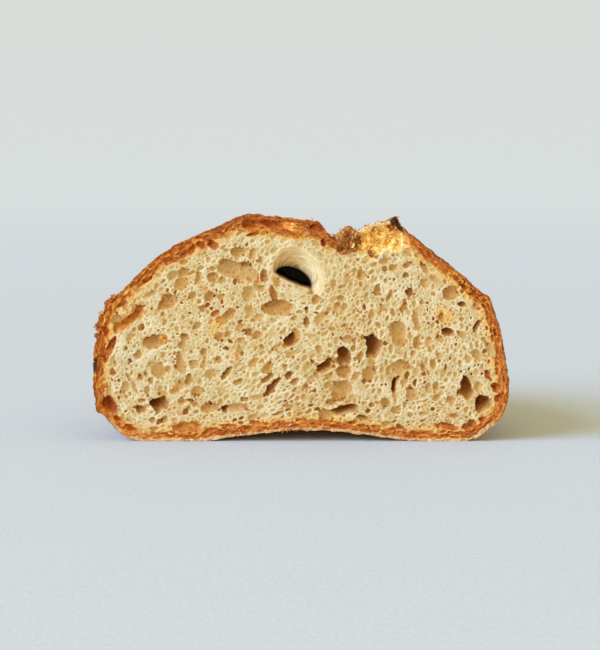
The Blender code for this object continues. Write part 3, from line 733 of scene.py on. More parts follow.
def carve_bubbles(crumb):
    """Small bubbles wherever there is still room for one, larger ones first, and fine ones in pockets too."""
    draw = np.random.default_rng(42)
    funnel = egg(crumb.flat_x, crumb.flat_z, FUNNEL)
    smooth_mouth = (funnel - 0.97) * 8
    below = above_ledge(crumb.flat_x, crumb.flat_z) < 0.02
    in_pocket = (crumb.free < -0.3) & (-crumb.edge > CRUST_BAND)
    crumb.free = np.minimum(crumb.free, np.where(below, crumb.free, smooth_mouth))
    floors = np.where(in_pocket & (below | (smooth_mouth > 0)), 2.0, -1.0)
    flat = (crumb.x, crumb.z)
    openness = 1 + 0.32 * noise_grid(flat, 14, 86)
    richness = np.clip(0.9 + 0.45 * noise_grid(flat, 10, 87), 0.3, 1.3)
    tries = draw.uniform(0, 1, (BUBBLE_TRIES, 8))
    fine = []
    for n, (u, v, pick, turn, fat, deep, shift, shade) in enumerate(tries):
        i, k = int(u * (len(crumb.x) - 1)), int(v * (len(crumb.z) - 1))
        room = floors if in_pocket[i, k] else crumb.free
        if room[i, k] < FINEST * 0.85:
            continue
        x, z = crumb.x[i] + (pick - 0.5) * STEP, crumb.z[k] + (turn - 0.5) * STEP
        rim = -crumb.edge[i, k]
        largest = LARGE + (FINE - LARGE) * smooth(0, LARGE_SHARE, n / BUBBLE_TRIES)
        wanted = (FINEST + (largest - FINEST) * pick**1.3) * openness[i, k]
        if rim < CRUST_BAND + 1 or in_pocket[i, k]:
            wanted = min(wanted, FINEST + 0.5 * pick)
        size = min(wanted, room[i, k] - BUBBLE_GAP)
        if size < FINEST * 0.8:
            continue
        tilt, stretch = crumb.grain(x, z)
        if rim < CRUST_BAND:
            stretch = min(stretch * 1.5, 3)
        length = size * stretch * (0.9 + 0.3 * fat)
        width = size * (0.85 + 0.2 * fat)
        tilt += (turn - 0.5) * 50 / stretch
        crumb.occupy(room, x, z, length * 0.95, width * 0.95, tilt)
        if rim < CRUST_BAND:
            into, lift = size * (0.9 + 0.7 * deep), shift * 0.5
            crumb.hollow((x, lift * into, z), (length, into, width), tilt, (0.9, 0.4, 0.5), 0.9)
        elif size > OWN_HOLLOW:
            into, lift = size * (0.55 + 0.5 * deep), (shift - 0.6) * 0.7
            crumb.hollow((x, lift * into, z), (length, into, width), tilt, (0.0, 0.1, 0.2 + 0.6 * shade), 1.5)
        else:
            into, gold = size * (0.45 + 0.6 * deep), (0.15 + 0.7 * shade) * richness[i, k]
            # Deep ones are darker gold inside, which is painted shade
            if shade > DEEP_SHARE:
                into, gold = 1.3 * into + 0.4, 1.15
            if in_pocket[i, k]:
                into, gold = 0.35 * into, 0.2 * shade
            fine.append((x, z, length, width, tilt, into, gold))
    crumb.foam(fine)


def polygons(field, axes, steps):
    """Surface nets: a place in each cell that the surface crosses, and a quad round each crossed edge."""
    bread = field < 0
    count = np.zeros([n - 1 for n in field.shape], np.uint8)
    for corner in np.ndindex(2, 2, 2):
        count += bread[tuple(slice(c, n - 1 + c) for c, n in zip(corner, field.shape))]
    crossed = (count > 0) & (count < 8)
    cells = np.stack(np.nonzero(crossed), axis=1)
    number = np.full(crossed.shape, -1, np.int32)
    number[tuple(cells.T)] = np.arange(len(cells), dtype=np.int32)
    total = np.zeros((len(cells), 3), np.float32)
    found = np.zeros(len(cells), np.float32)
    for axis in range(3):
        for corner in np.ndindex(2, 2, 2):
            if corner[axis]:
                continue
            far = list(corner)
            far[axis] = 1
            a = field[tuple((cells + corner).T)]
            b = field[tuple((cells + far).T)]
            here = (a < 0) != (b < 0)
            share = np.where(here, a / np.where(here, a - b, 1), 0)
            total += here[:, None] * np.array(corner, np.float32)
            total[:, axis] += share
            found += here
    places = cells + total / found[:, None]
    places = np.stack([axis[0] + places[:, k] * steps[k] for k, axis in enumerate(axes)], axis=1)
    quads = []
    for axis in range(3):
        side, up = (axis + 1) % 3, (axis + 2) % 3
        low = [slice(1, -1)] * 3
        low[axis] = slice(0, -1)
        high = list(low)
        high[axis] = slice(1, None)
        a, b = bread[tuple(low)], bread[tuple(high)]
        at = np.stack(np.nonzero(a != b), axis=1)
        at += np.array([s.start for s in low])
        rising = bread[tuple(at.T)]
        ring = []
        for back_side, back_up in ((1, 1), (0, 1), (0, 0), (1, 0)):
            cell = at.copy()
            cell[:, side] -= back_side
            cell[:, up] -= back_up
            ring.append(number[tuple(cell.T)])
        quad = np.stack(ring, axis=1)
        quad[~rising] = quad[~rising][:, ::-1]
        quads.append(quad)
    return places, np.concatenate(quads)


def reached_air(field):
    """The air that is joined to the room in front, without sealed bubbles inside the bread."""
    air = field >= 0
    reached = np.zeros_like(air)
    reached[:, 0, :] = air[:, 0, :]
    while True:
        before = reached.sum()
        for axis in range(3):
            for way in (0, 1):
                line = np.moveaxis(reached if way == 0 else np.flip(reached, axis), axis, 0)
                room = np.moveaxis(air if way == 0 else np.flip(air, axis), axis, 0)
                for n in range(1, len(line)):
                    line[n] |= line[n - 1] & room[n]
        if reached.sum() == before:
            return reached


def as_frame(places):
    """Millimetres with Y counted from the cut, as metres in the frame."""
    return (places + np.array((0, CUT_Y, 0))) / 1000


def make_piece(name, places, faces, material, marks=(), spread=None, normals=None):
    """A piece of the loaf from arrays. marks are numbers per place, and spread is its map, a pair per place.

    A piece with a map is shaded smoothly. Broken bits have none, and keep their facets.
    """
    mesh = bpy.data.meshes.new(name)
    mesh.vertices.add(len(places))
    mesh.vertices.foreach_set("co", as_frame(places).astype(np.float32).ravel())
    mesh.loops.add(faces.size)
    mesh.loops.foreach_set("vertex_index", faces.astype(np.int32).ravel())
    mesh.polygons.add(len(faces))
    mesh.polygons.foreach_set("loop_start", np.arange(0, faces.size, faces.shape[1], dtype=np.int32))
    mesh.update(calc_edges=True)
    mesh.polygons.foreach_set("use_smooth", np.full(len(faces), spread is not None))
    for title, numbers in dict(marks).items():
        layer = mesh.attributes.new(title, "FLOAT", "POINT")
        layer.data.foreach_set("value", np.asarray(numbers, np.float32).ravel())
    if spread is not None:
        layer = mesh.uv_layers.new(name="OFBake")
        layer.data.foreach_set("uv", spread[faces.ravel()].astype(np.float32).ravel())
    mesh.materials.append(material)
    piece = bpy.data.objects.new(name, mesh)
    bpy.context.scene.collection.objects.link(piece)
    if normals is not None:
        mesh.normals_split_custom_set_from_vertices(normals)
    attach(piece, "root")
    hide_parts("loaf")


def tone(red, green, blue):
    """A colour as the eye sees it, 0 to 255, in the linear values that a shader takes."""
    def linear(value):
        value /= 255
        return value / 12.92 if value <= 0.04045 else ((value + 0.055) / 1.055) ** 2.4
    return (linear(red), linear(green), linear(blue), 1)


class Paint:
    """One material's nodes, added a step at a time."""

    def __init__(self, name):
        self.material = bpy.data.materials.new(name)
        self.material.use_nodes = True
        self.tree = self.material.node_tree
        self.shader = self.tree.nodes["Principled BSDF"]
        self.place = self.node("ShaderNodeTexCoord").outputs["Object"]

    def node(self, kind, **settings):
        made = self.tree.nodes.new(kind)
        for name, value in settings.items():
            setattr(made, name, value)
        return made

    def put(self, socket, value):
        if isinstance(value, bpy.types.NodeSocket):
            self.tree.links.new(value, socket)
        else:
            socket.default_value = value

    def put_colour(self, socket, colour):
        """Sets a colour, which is another socket or has the eye's tones of 0 to 255."""
        self.put(socket, tone(*colour) if isinstance(colour, tuple) else colour)

    def mark(self, name):
        return self.node("ShaderNodeAttribute", attribute_name=name).outputs["Fac"]

    def math(self, operation, a, b=0.0, clamp=False):
        made = self.node("ShaderNodeMath", operation=operation, use_clamp=clamp)
        self.put(made.inputs[0], a)
        self.put(made.inputs[1], b)
        return made.outputs[0]

    def times(self, a, b):
        return self.math("MULTIPLY", a, b)

    def plus(self, a, b):
        return self.math("ADD", a, b)

    def between(self, value, low, high, smoothly=True):
        """0 where value is low and 1 where it is high."""
        made = self.node("ShaderNodeMapRange", interpolation_type="SMOOTHSTEP" if smoothly else "LINEAR")
        self.put(made.inputs["Value"], value)
        self.put(made.inputs["From Min"], low)
        self.put(made.inputs["From Max"], high)
        return made.outputs[0]

    def vector(self, x, y, z):
        made = self.node("ShaderNodeCombineXYZ")
        for socket, value in zip(made.inputs, (x, y, z)):
            self.put(socket, value)
        return made.outputs[0]

    def noise(self, size_mm, detail=3.0, roughness=0.55, place=None):
        made = self.node("ShaderNodeTexNoise")
        self.put(made.inputs["Vector"], place or self.place)
        self.put(made.inputs["Scale"], 1.0 if place else 1000 / size_mm)
        self.put(made.inputs["Detail"], detail)
        self.put(made.inputs["Roughness"], roughness)
        return made.outputs["Fac"]

    def sway(self, reach, *noise):
        """Noise about 0, half of reach either way at most."""
        return self.times(self.math("SUBTRACT", self.noise(*noise), 0.5), reach)

    def cells(self, size_mm, feature="F1"):
        made = self.node("ShaderNodeTexVoronoi", feature=feature)
        self.put(made.inputs["Vector"], self.place)
        self.put(made.inputs["Scale"], 1000 / size_mm)
        return made.outputs["Distance"]

    def ramp(self, value, *stops):
        made = self.node("ShaderNodeValToRGB")
        ramp = made.color_ramp
        while len(ramp.elements) < len(stops):
            ramp.elements.new(1)
        for element, (position, colour) in zip(ramp.elements, stops):
            element.position = position
            element.color = tone(*colour)
        self.put(made.inputs["Fac"], value)
        return made.outputs["Color"]

    def mottle(self, noise, *stops):
        """Colours that follow a noise, given as its size, detail and roughness."""
        return self.ramp(self.noise(*noise), *stops)

    def mix(self, factor, a, b):
        made = self.node("ShaderNodeMix", data_type="RGBA")
        self.put(made.inputs["Factor"], factor)
        for socket, colour in zip((one for one in made.inputs if one.type == "RGBA"), (a, b)):
            self.put_colour(socket, colour)
        return next(socket for socket in made.outputs if socket.type == "RGBA")

    def bump(self, height, distance_mm, strength=1.0):
        made = self.node("ShaderNodeBump")
        self.put(made.inputs["Strength"], strength)
        self.put(made.inputs["Distance"], distance_mm / 1000)
        self.put(made.inputs["Height"], height)
        self.put(self.shader.inputs["Normal"], made.outputs["Normal"])

    def uneven(self, least, size_mm):
        """A roughness that wavers up from its least."""
        return self.plus(self.times(self.noise(size_mm), 0.3), least)

    def finish(self, colour, roughness, specular=0.5):
        self.put(self.shader.inputs["Base Color"], colour)
        self.put(self.shader.inputs["Roughness"], roughness)
        self.put(self.shader.inputs["Specular IOR Level"], specular)
        return self.material


def crumb_material():
    """Creamy crumb, golden in its hollows with painted shade deeper in, that browns towards the crust round
    the cut.
    """
    paint = Paint("crumb")
    rim, pit = paint.mark("rim"), paint.mark("pit")
    # Tiny pores: dents in the bump, and painted shade in the colour
    pore_dent_and_painted_shade = paint.between(paint.cells(1.1), 0.4, 0.16)
    pore_dent_and_painted_shade = paint.times(pore_dent_and_painted_shade, paint.between(paint.noise(3.5, 2), 0.42, 0.62))
    grains = paint.vector(paint.times(paint.mark("run"), 0.7), paint.times(rim, 1.15), paint.times(pit, 0.9))
    flakes = paint.plus(paint.noise(1, 4, 0.68, grains), paint.sway(0.5, 9, 2))
    colour = band_colour(paint, fresh_colour(paint, pore_dent_and_painted_shade), rim, flakes)
    colour = patch_colour(paint, hollow_colour(paint, colour, pit))
    grain = paint.plus(paint.times(pore_dent_and_painted_shade, -0.8), paint.times(flakes, 0.5))
    paint.bump(paint.plus(paint.noise(0.9, 3, 0.7), grain), 0.18, 0.7)
    paint.put(paint.shader.inputs["Subsurface Weight"], 0.3)
    paint.put(paint.shader.inputs["Subsurface Radius"], (1.0, 0.55, 0.25))
    paint.put(paint.shader.inputs["Subsurface Scale"], 0.0011)
    return paint.finish(colour, paint.uneven(0.5, 2), 0.3)


def fresh_colour(paint, pore_dent_and_painted_shade):
    """Crumb away from the crust: cream with tan specks, painted shade in its pores, and paler webs, partly
    painted highlight.
    """
    cream = paint.mottle((7, 4, 0.6), (0.3, (204, 172, 108)), (0.5, (217, 190, 134)), (0.7, (232, 214, 173)))
    # Painted shade in the tiny pores
    cream = paint.mix(paint.times(pore_dent_and_painted_shade, 0.45), cream, (204, 160, 92))
    specks = paint.between(paint.noise(0.9, 2, 0.6), 0.5, 0.72)
    cream = paint.mix(paint.times(specks, 0.4), cream, (208, 168, 104))
    # Paler along the thin webs: partly their own tone, partly a painted highlight
    web_and_highlight = paint.times(paint.mark("web_and_highlight"), paint.between(paint.noise(4, 3), 0.35, 0.65))
    return paint.mix(paint.times(web_and_highlight, 0.8), cream, (243, 230, 198))


def band_colour(paint, colour, rim, flakes):
    """The browned band along the outline: golden, then flaky orange brown, and floury near the ground."""
    depth_in = paint.plus(rim, paint.plus(paint.sway(4.0, 6, 3), paint.sway(2.0, 1.8, 2)))
    crust = paint.ramp(
        flakes,
        (0.32, (132, 46, 2)), (0.42, (178, 86, 8)), (0.52, (210, 130, 28)), (0.62, (230, 170, 68)),
        (0.76, (248, 212, 134)),
    )
    outer = paint.ramp(flakes, (0.35, (122, 50, 10)), (0.55, (192, 108, 34)), (0.75, (232, 170, 92)))
    floury = paint.mottle(
        (1.3, 4, 0.7), (0.35, (176, 124, 66)), (0.52, (224, 184, 130)), (0.68, (240, 216, 174))
    )
    colour = paint.mix(paint.between(depth_in, 8.5, 4.5), colour, (236, 186, 104))
    colour = paint.mix(paint.between(depth_in, 5.2, 3.4), colour, crust)
    colour = paint.mix(paint.between(rim, 1.0, 0.2), colour, outer)
    return paint.mix(paint.times(paint.between(rim, 2.0, 0.8), paint.mark("low")), colour, floury)


def hollow_colour(paint, colour, pit):
    """Bubbles and pockets: golden or baked inside, with painted shade that browns them with depth and
    blackens them far in.
    """
    toast, golden = paint.mark("toast"), paint.mark("gold")
    gold = paint.ramp(
        paint.plus(golden, paint.sway(0.9, 1.5, 3, 0.65)),
        (0.1, (222, 196, 140)), (0.45, (211, 169, 99)), (0.8, (197, 140, 60)), (1, (164, 96, 20)),
    )
    baked = paint.mottle((1.5, 3, 0.65), (0.36, (156, 60, 4)), (0.52, (200, 98, 12)), (0.66, (240, 154, 46)))
    # Gold in the cells, partly their own tone and partly painted shade that deepens toward their middles
    in_cell = paint.times(paint.between(golden, 0.02, 0.25), paint.between(pit, -0.3, 0.3))
    colour = paint.mix(paint.times(in_cell, 0.9), colour, paint.mix(toast, gold, baked))
    # Painted shade: browner the deeper behind the cut, as much as each hollow's dark tone asks
    painted_depth_shade = paint.math("MULTIPLY", paint.mark("dark"), paint.between(pit, 0.2, 4.0, False), True)
    colour = paint.mix(painted_depth_shade, colour, paint.mix(toast, (146, 80, 16), (128, 50, 2)))
    # Painted shade: dark specks for tiny pinholes
    painted_pinhole_shade = paint.between(paint.cells(2.3), 0.16, 0.08)
    colour = paint.mix(paint.times(painted_pinhole_shade, 0.6), colour, (140, 84, 30))
    colour = paint.mix(paint.times(paint.mark("mouth"), 0.9), colour, mouth_colour(paint))
    # Painted shade: black far in
    return paint.mix(paint.between(pit, 5, 8.5), colour, (24, 9, 5))


def patch_colour(paint, colour):
    """The photo's patches: grey, yellow, the score's torn bed and mound, and baked or scorched edges."""
    grey = paint.times(paint.mark("grey"), paint.between(paint.noise(2, 3), 0.4, 0.7))
    colour = paint.mix(paint.times(grey, 0.7), colour, (196, 186, 162))
    colour = paint.mix(paint.times(paint.mark("yellow"), 0.55), colour, (238, 184, 84))
    colour = paint.mix(paint.mark("torn"), colour, torn_colour(paint))
    for name, share, *mottled in (
        ("mound", 1, (1.6, 4, 0.7), (0.32, (110, 48, 14)), (0.48, (176, 98, 38)), (0.66, (224, 162, 88))),
        ("amber", 1, (2.4, 4, 0.65), (0.34, (204, 98, 24)), (0.48, (240, 156, 58)), (0.64, (255, 210, 126))),
        ("honey", 0.85, (3, 3, 0.6), (0.34, (176, 92, 16)), (0.5, (212, 134, 40)), (0.68, (236, 172, 84))),
        ("russet", 0.85, (1,), (0, (148, 60, 2)), (1, (148, 60, 2))),
        ("burnt", 1, (1.4, 3, 0.65), (0.38, (40, 18, 8)), (0.54, (78, 42, 20)), (0.7, (136, 84, 44))),
    ):
        colour = paint.mix(paint.times(paint.mark(name), share), colour, paint.mottle(*mottled))
    return colour


def mouth_colour(paint):
    """The tunnel's smooth mouth: cream with fine stretch lines, and tan in the shade of its upper left."""
    turn, out = paint.mark("mouth_turn"), paint.mark("mouth_out")
    lines = paint.noise(1, 3, 0.6, paint.vector(paint.times(turn, 0.12), paint.times(out, 13), 0.0))
    pale = paint.ramp(lines, (0.32, (214, 174, 104)), (0.48, (236, 212, 160)), (0.66, (247, 232, 194)))
    shaded = paint.ramp(lines, (0.32, (168, 116, 54)), (0.48, (202, 158, 92)), (0.66, (226, 194, 134)))
    return paint.mix(paint.mark("mouth_shade"), pale, shaded)


def torn_colour(paint):
    """Torn bread in the score: pale gold and orange, a little more orange where it sinks deeper, as painted
    shade.
    """
    # shag is how far the bed sinks behind the cut: its small share is painted shade
    depth = paint.plus(paint.times(paint.mark("shag"), 0.1), paint.times(paint.noise(2.4, 4, 0.6), 0.9))
    return paint.ramp(
        depth,
        (0.46, (255, 238, 180)), (0.58, (255, 218, 124)), (0.7, (252, 188, 80)), (0.86, (224, 122, 32)),
    )


def crust_material():
    """Baked crust: uneven brown, darker on blisters and the ear, dusted with flour, pale underneath."""
    paint = Paint("crust")
    base = paint.mottle(
        (22, 5, 0.6),
        (0.3, (108, 58, 26)), (0.45, (142, 84, 40)), (0.6, (176, 114, 58)), (0.75, (202, 148, 90)),
    )
    fine = paint.mottle((2.4, 4, 0.7), (0.3, (98, 48, 20)), (0.5, (156, 94, 44)), (0.72, (206, 154, 94)))
    colour = paint.mix(0.45, base, fine)
    browned = paint.between(paint.noise(55, 3, 0.6), 0.42, 0.62)
    colour = paint.mix(paint.times(browned, 0.5), colour, (112, 56, 22))
    blistered = paint.between(paint.mark("blister"), 0.02, 0.3)
    blistered = paint.times(blistered, paint.between(paint.noise(9, 2), 0.4, 0.65))
    colour = paint.mix(paint.times(blistered, 0.55), colour, (104, 54, 26))
    crackle = paint.between(paint.cells(8, "DISTANCE_TO_EDGE"), 0.05, 0.01)
    crackle = paint.times(crackle, paint.between(paint.noise(15, 3), 0.5, 0.65))
    colour = paint.mix(paint.times(crackle, 0.45), colour, (112, 66, 34))
    golden = paint.mottle(
        (2.6, 4, 0.7),
        (0.3, (150, 80, 26)), (0.46, (206, 134, 54)), (0.6, (232, 180, 98)), (0.78, (242, 210, 144)),
    )
    colour = paint.mix(paint.between(paint.mark("score"), 0.1, 0.6), colour, golden)
    colour = paint.mix(paint.between(paint.mark("ear"), 0.15, 0.8), colour, (70, 30, 10))
    flour = paint.between(paint.noise(1.1, 4, 0.75), 0.47, 0.66)
    flour = paint.times(flour, paint.between(paint.noise(26, 3), 0.42, 0.6))
    no_flour = paint.math("MAXIMUM", paint.mark("score"), paint.mark("flaky"))
    flour = paint.times(flour, paint.math("SUBTRACT", 0.75, no_flour, True))
    colour = paint.mix(flour, colour, (224, 202, 166))
    flaky = paint.mark("flaky")
    near_cut = paint.times(paint.between(paint.mark("back"), 0.035, 0.006), paint.mark("bright"))
    under = paint.times(paint.mark("under"), 0.85)
    for where, *mottled in (
        (flaky, (1.4, 3, 0.7), (0.32, (124, 54, 18)), (0.5, (192, 106, 46)), (0.72, (232, 162, 96))),
        (near_cut, (1.7, 4, 0.7), (0.34, (150, 76, 24)), (0.5, (206, 126, 50)), (0.68, (236, 176, 100))),
        (under, (1.6, 4, 0.75), (0.32, (150, 102, 54)), (0.5, (208, 166, 110)), (0.7, (234, 210, 168))),
    ):
        colour = paint.mix(where, colour, paint.mottle(*mottled))
    grain = paint.plus(paint.noise(1.2, 4, 0.7), paint.times(paint.noise(4.5, 3), 1.5))
    paint.bump(grain, 0.5, 0.9)
    return paint.finish(colour, paint.uneven(0.5, 3), 0.35)


def scrap_material(name, shades):
    """Broken bits, each one its own tone, from the darkest to the palest of four."""
    paint = Paint(name)
    shade = paint.plus(paint.times(paint.mark("shade"), 0.75), paint.times(paint.noise(0.9, 3), 0.35))
    colour = paint.ramp(shade, *zip((0.12, 0.38, 0.62, 0.88), shades))
    paint.bump(paint.noise(0.7, 3, 0.7), 0.15, 0.7)
    return paint.finish(colour, paint.uneven(0.5, 1), 0.3)


def spot_material(name, low, high):
    """A small bit baked into the crumb, mottled between two colours."""
    paint = Paint(name)
    colour = paint.mottle((0.8, 3, 0.65), (0.35, low), (0.65, high))
    paint.bump(paint.noise(0.5, 2), 0.1, 0.6)
    return paint.finish(colour, paint.uneven(0.4, 0.7))


def make_crust():
    """The crust's shell, from the cut back to its pole. Returns its places, normals and marks."""
    places, marks = crust_places()
    rows, count = places.shape[:2]
    places[:, :, 0] -= (places[:, :, 0].min() + places[:, :, 0].max()) / 2
    ring = np.arange(count)
    grid = np.arange(rows)[:-1, None] * count
    a, b = grid + ring, grid + (ring + 1) % count
    quads = np.stack((a, b, b + count, a + count), axis=2).reshape(-1, 4)
    pole = np.array([(0, DEPTH, POLE_HEIGHT)])
    last = (rows - 1) * count
    cap = np.stack((last + ring, last + (ring + 1) % count, np.full(count, rows * count)), axis=1)
    flat = np.concatenate((places.reshape(-1, 3), pole))
    faces = np.concatenate((quads[:, [0, 1, 2]], quads[:, [0, 2, 3]], cap))
    flat_marks = {name: np.append(np.asarray(values).ravel(), 0) for name, values in marks.items()}
    u, v = np.meshgrid(ring / count, np.arange(rows) / rows)
    spread = np.concatenate((np.stack((u, v), axis=2).reshape(-1, 2), [(0.5, 1)]))
    make_piece("crust", flat, faces[:, ::-1], crust_material(), flat_marks, spread)
    return places, surface_normals(places), marks


def make_crumb(outline):
    """The cut face, as a few neighbouring pieces, each small enough for the export."""
    crumb = Crumb(outline)
    carve_tunnel(crumb)
    carve_pockets(crumb)
    carve_bubbles(crumb)
    crumb.field[:, -1, :] = -1
    crumb.field[~reached_air(crumb.field) & (crumb.field >= 0)] = -0.05
    places, quads = polygons(crumb.field, crumb.axes, crumb.steps)
    low = np.array([axis[0] for axis in crumb.axes])
    cell = ((places - low) / crumb.steps + 0.5).astype(int)
    cell = tuple(np.minimum(cell, np.array(crumb.field.shape) - 1).T)
    edge = crumb.edge[cell[0], cell[2]]
    hidden = (edge > -HIDDEN_RIM) & (places[:, 1] > HIDDEN_BACK)
    quads = quads[~hidden[quads].any(axis=1)]
    marks = crumb_marks(crumb, places, cell)
    material = crumb_material()
    middles = places[quads, 0].mean(axis=1)
    spread = np.stack(((places[:, 0] + WIDTH / 2) / WIDTH, places[:, 2] / WIDTH), axis=1)
    normals = crumb_normals(crumb, places)
    normals[:, 1] -= SOFTEN * (places[:, 1] < 2)
    normals = unit(normals)
    bounds = np.quantile(middles, np.linspace(0, 1, math.ceil(len(quads) / MOST_QUADS) + 1))
    bounds[0] -= 1
    for n, (left, right) in enumerate(zip(bounds, bounds[1:])):
        own = quads[(middles > left) & (middles <= right)]
        used, faces = np.unique(own, return_inverse=True)
        own_marks = {name: values[used] for name, values in marks.items()}
        own_spread = spread[used] - spread[used].min(axis=0)
        own_spread /= own_spread.max(axis=0)
        faces = faces.reshape(-1, 4)
        make_piece(f"crumb_{n + 1}", places[used], faces, material, own_marks, own_spread, normals[used])
    return crumb


def crumb_marks(crumb, places, cell):
    """The numbers that the crumb's material reads at each place."""
    x, y, z = places.T
    tones = np.array(crumb.tones, np.float32)
    owner = crumb.owner[cell]
    uneven = noise_at(places, 2.5, 51) + 0.6 * noise_at(places, 1.1, 52)

    def at_cut(flat):
        return flat[cell[0], cell[2]]

    def blot(eggs):
        return smooth(1.35, 0.75, nearest_egg(x, z, eggs) + 0.3 * uneven)

    out = egg(x, z, FUNNEL)
    turn = np.arctan2(z - FUNNEL[1], x - FUNNEL[0])
    front = at_cut(crumb.front)
    mouth = smooth(1.03, 0.93, out + 0.03 * uneven) * above_ledge(x, z) * (y < front + 0.6)
    thick = smooth(1.15, 0.7, egg(x, z, THICK_CRUST))
    return {
        "rim": -at_cut(crumb.edge) - THICKER * thick,
        "run": at_cut(crumb.run),
        "pit": y - 0.3,
        "toast": tones[owner, 0],
        # dark: how strongly the inside darkens with depth, as painted shade
        "dark": tones[owner, 1],
        # gold: partly the own tone, partly painted shade deeper in the cells
        "gold": np.where(owner > 0, tones[owner, 2], 0) + at_cut(crumb.golden),
        # Paler thin walls, partly a painted highlight
        "web_and_highlight": at_cut(crumb.web_and_highlight),
        "mouth": mouth,
        "mouth_out": out,
        "mouth_turn": turn * 10,
        "mouth_shade": smooth(0.1, 0.9, np.cos(turn - math.radians(SHADE_TURN))),
        "shag": front,
        "torn": blot(TORN),
        "mound": blot(MOUND),
        "amber": blot(AMBER),
        "honey": blot(HONEY),
        "russet": blot(RUSSET),
        "burnt": blot(BURNT),
        "grey": smooth(1.1, 0.5, egg(x, z, GREY)),
        "yellow": smooth(1.2, 0.4, nearest_egg(x, z, YELLOW)),
        "low": smooth(12, 4, z),
    }


def crumb_normals(crumb, places):
    """Each place's normal, out of the bread, from the slope of the field."""
    slopes = np.gradient(crumb.field, *crumb.steps)
    cell = (places - np.array([axis[0] for axis in crumb.axes])) / crumb.steps
    low = np.floor(cell).astype(int)
    part = cell - low
    found = np.zeros((len(places), 3))
    for corner in np.ndindex(2, 2, 2):
        weight = np.prod([part[:, k] if corner[k] else 1 - part[:, k] for k in range(3)], axis=0)
        at = tuple(np.minimum(low + corner, np.array(crumb.field.shape) - 1).T)
        found += weight[:, None] * np.stack([slope[at] for slope in slopes], axis=1)
    return unit(found)


def prism_faces(sides):
    """The triangles of a closed prism whose places are one ring, then the other."""
    ring = np.arange(sides)
    after = (ring + 1) % sides
    walls = np.concatenate((
        np.stack((ring, after, after + sides), axis=1), np.stack((ring, after + sides, ring + sides), axis=1)
    ))
    fan = np.stack((np.zeros(sides - 2, int), ring[2:], ring[1:-1]), axis=1)
    return np.concatenate((walls, fan, fan[:, ::-1] + sides))


def chips(places, facing, sizes, draw, tilt=0.5, thin=0.3):
    """Flat irregular chips, one at each place, turned at random about the way each one faces."""
    count, sides = len(places), 6
    facing = unit(facing + draw.normal(0, tilt, (count, 3)))
    helper = np.where(np.abs(facing[:, 2:3]) < 0.9, (0, 0, 1), (1, 0, 0))
    side = unit(np.cross(facing, helper))
    up = np.cross(facing, side)
    turn = np.arange(sides) / sides * math.tau + draw.uniform(0, math.tau, (count, 1))
    turn = turn + draw.normal(0, 0.2, (count, sides))
    radius = sizes[:, None] * draw.uniform(0.35, 1.0, (count, sides))
    long = draw.uniform(0.5, 1, (count, 1))
    across, along = radius * np.cos(turn), radius * long * np.sin(turn)
    flat = side[:, None] * across[..., None] + up[:, None] * along[..., None]
    thick = facing[:, None] * (sizes[:, None] * draw.uniform(0.5, 1.0, (count, sides)) * thin)[..., None]
    bent = facing[:, None] * (draw.uniform(-0.6, 0.6, (count, 1)) * radius * np.cos(turn))[..., None] * 0.5
    narrower = draw.uniform(0.6, 0.95, (count, sides))[..., None]
    rings = np.concatenate((flat + bent - thick / 2, flat * narrower + bent + thick), axis=1)
    corners = (places[:, None] + rings).reshape(-1, 3)
    faces = (prism_faces(sides)[None] + (np.arange(count) * 2 * sides)[:, None, None]).reshape(-1, 3)
    return corners, faces, np.repeat(draw.uniform(0, 1, count), 2 * sides)


def shreds(places, facing, sizes, draw, scatter=0.7, thickness=0.28):
    """Thin curling shreds, one standing out of each place."""
    count, rings, sides = len(places), 6, 4
    way = unit(facing + draw.normal(0, scatter, (count, 3)))
    bend = draw.normal(0, 1, (count, 3))
    bend = unit(bend - way * (bend * way).sum(axis=1, keepdims=True))
    third = np.cross(way, bend)
    curl = draw.uniform(0.3, 2.2, (count, 1))
    t = np.linspace(0, 1, rings)
    reach, fall = np.sin(curl * t) / curl, (1 - np.cos(curl * t)) / curl
    line = reach[..., None] * way[:, None] + fall[..., None] * bend[:, None]
    line = places[:, None] + sizes[:, None, None] * line
    thick = thickness * (1 - 0.75 * t) * draw.uniform(0.6, 1.4, (count, 1))
    turn = np.arange(sides) / sides * math.tau
    round_it = bend[:, None, None] * np.cos(turn)[:, None] + third[:, None, None] * np.sin(turn)[:, None]
    corners = (line[:, :, None] + thick[:, :, None, None] * round_it).reshape(-1, 3)
    ring = np.arange(sides)
    after = (ring + 1) % sides
    wall = np.stack((ring, after, after + sides, ring + sides), axis=1)
    walls = np.concatenate([wall + k * sides for k in range(rings - 1)])
    walls = np.concatenate((walls[:, [0, 1, 2]], walls[:, [0, 2, 3]]))
    faces = (walls[None] + (np.arange(count) * rings * sides)[:, None, None]).reshape(-1, 3)
    return corners, faces, np.repeat(draw.uniform(0, 1, count), rings * sides)


def mostly_small(smallest, largest, count, draw):
    return smallest + (largest - smallest) * draw.uniform(0, 1, count) ** 2


def joined(*parts):
    """Several (places, faces, shades) as one."""
    start, places, faces, shades = 0, [], [], []
    for part_places, part_faces, part_shades in parts:
        places.append(part_places)
        faces.append(part_faces + start)
        shades.append(part_shades)
        start += len(part_places)
    return np.concatenate(places), np.concatenate(faces), np.concatenate(shades)


def picked(weight, count, draw):
    """Cells of a grid drawn at random, more where weight is larger."""
    chance = weight.ravel() / weight.sum()
    return np.unravel_index(draw.choice(weight.size, count, p=chance), weight.shape)


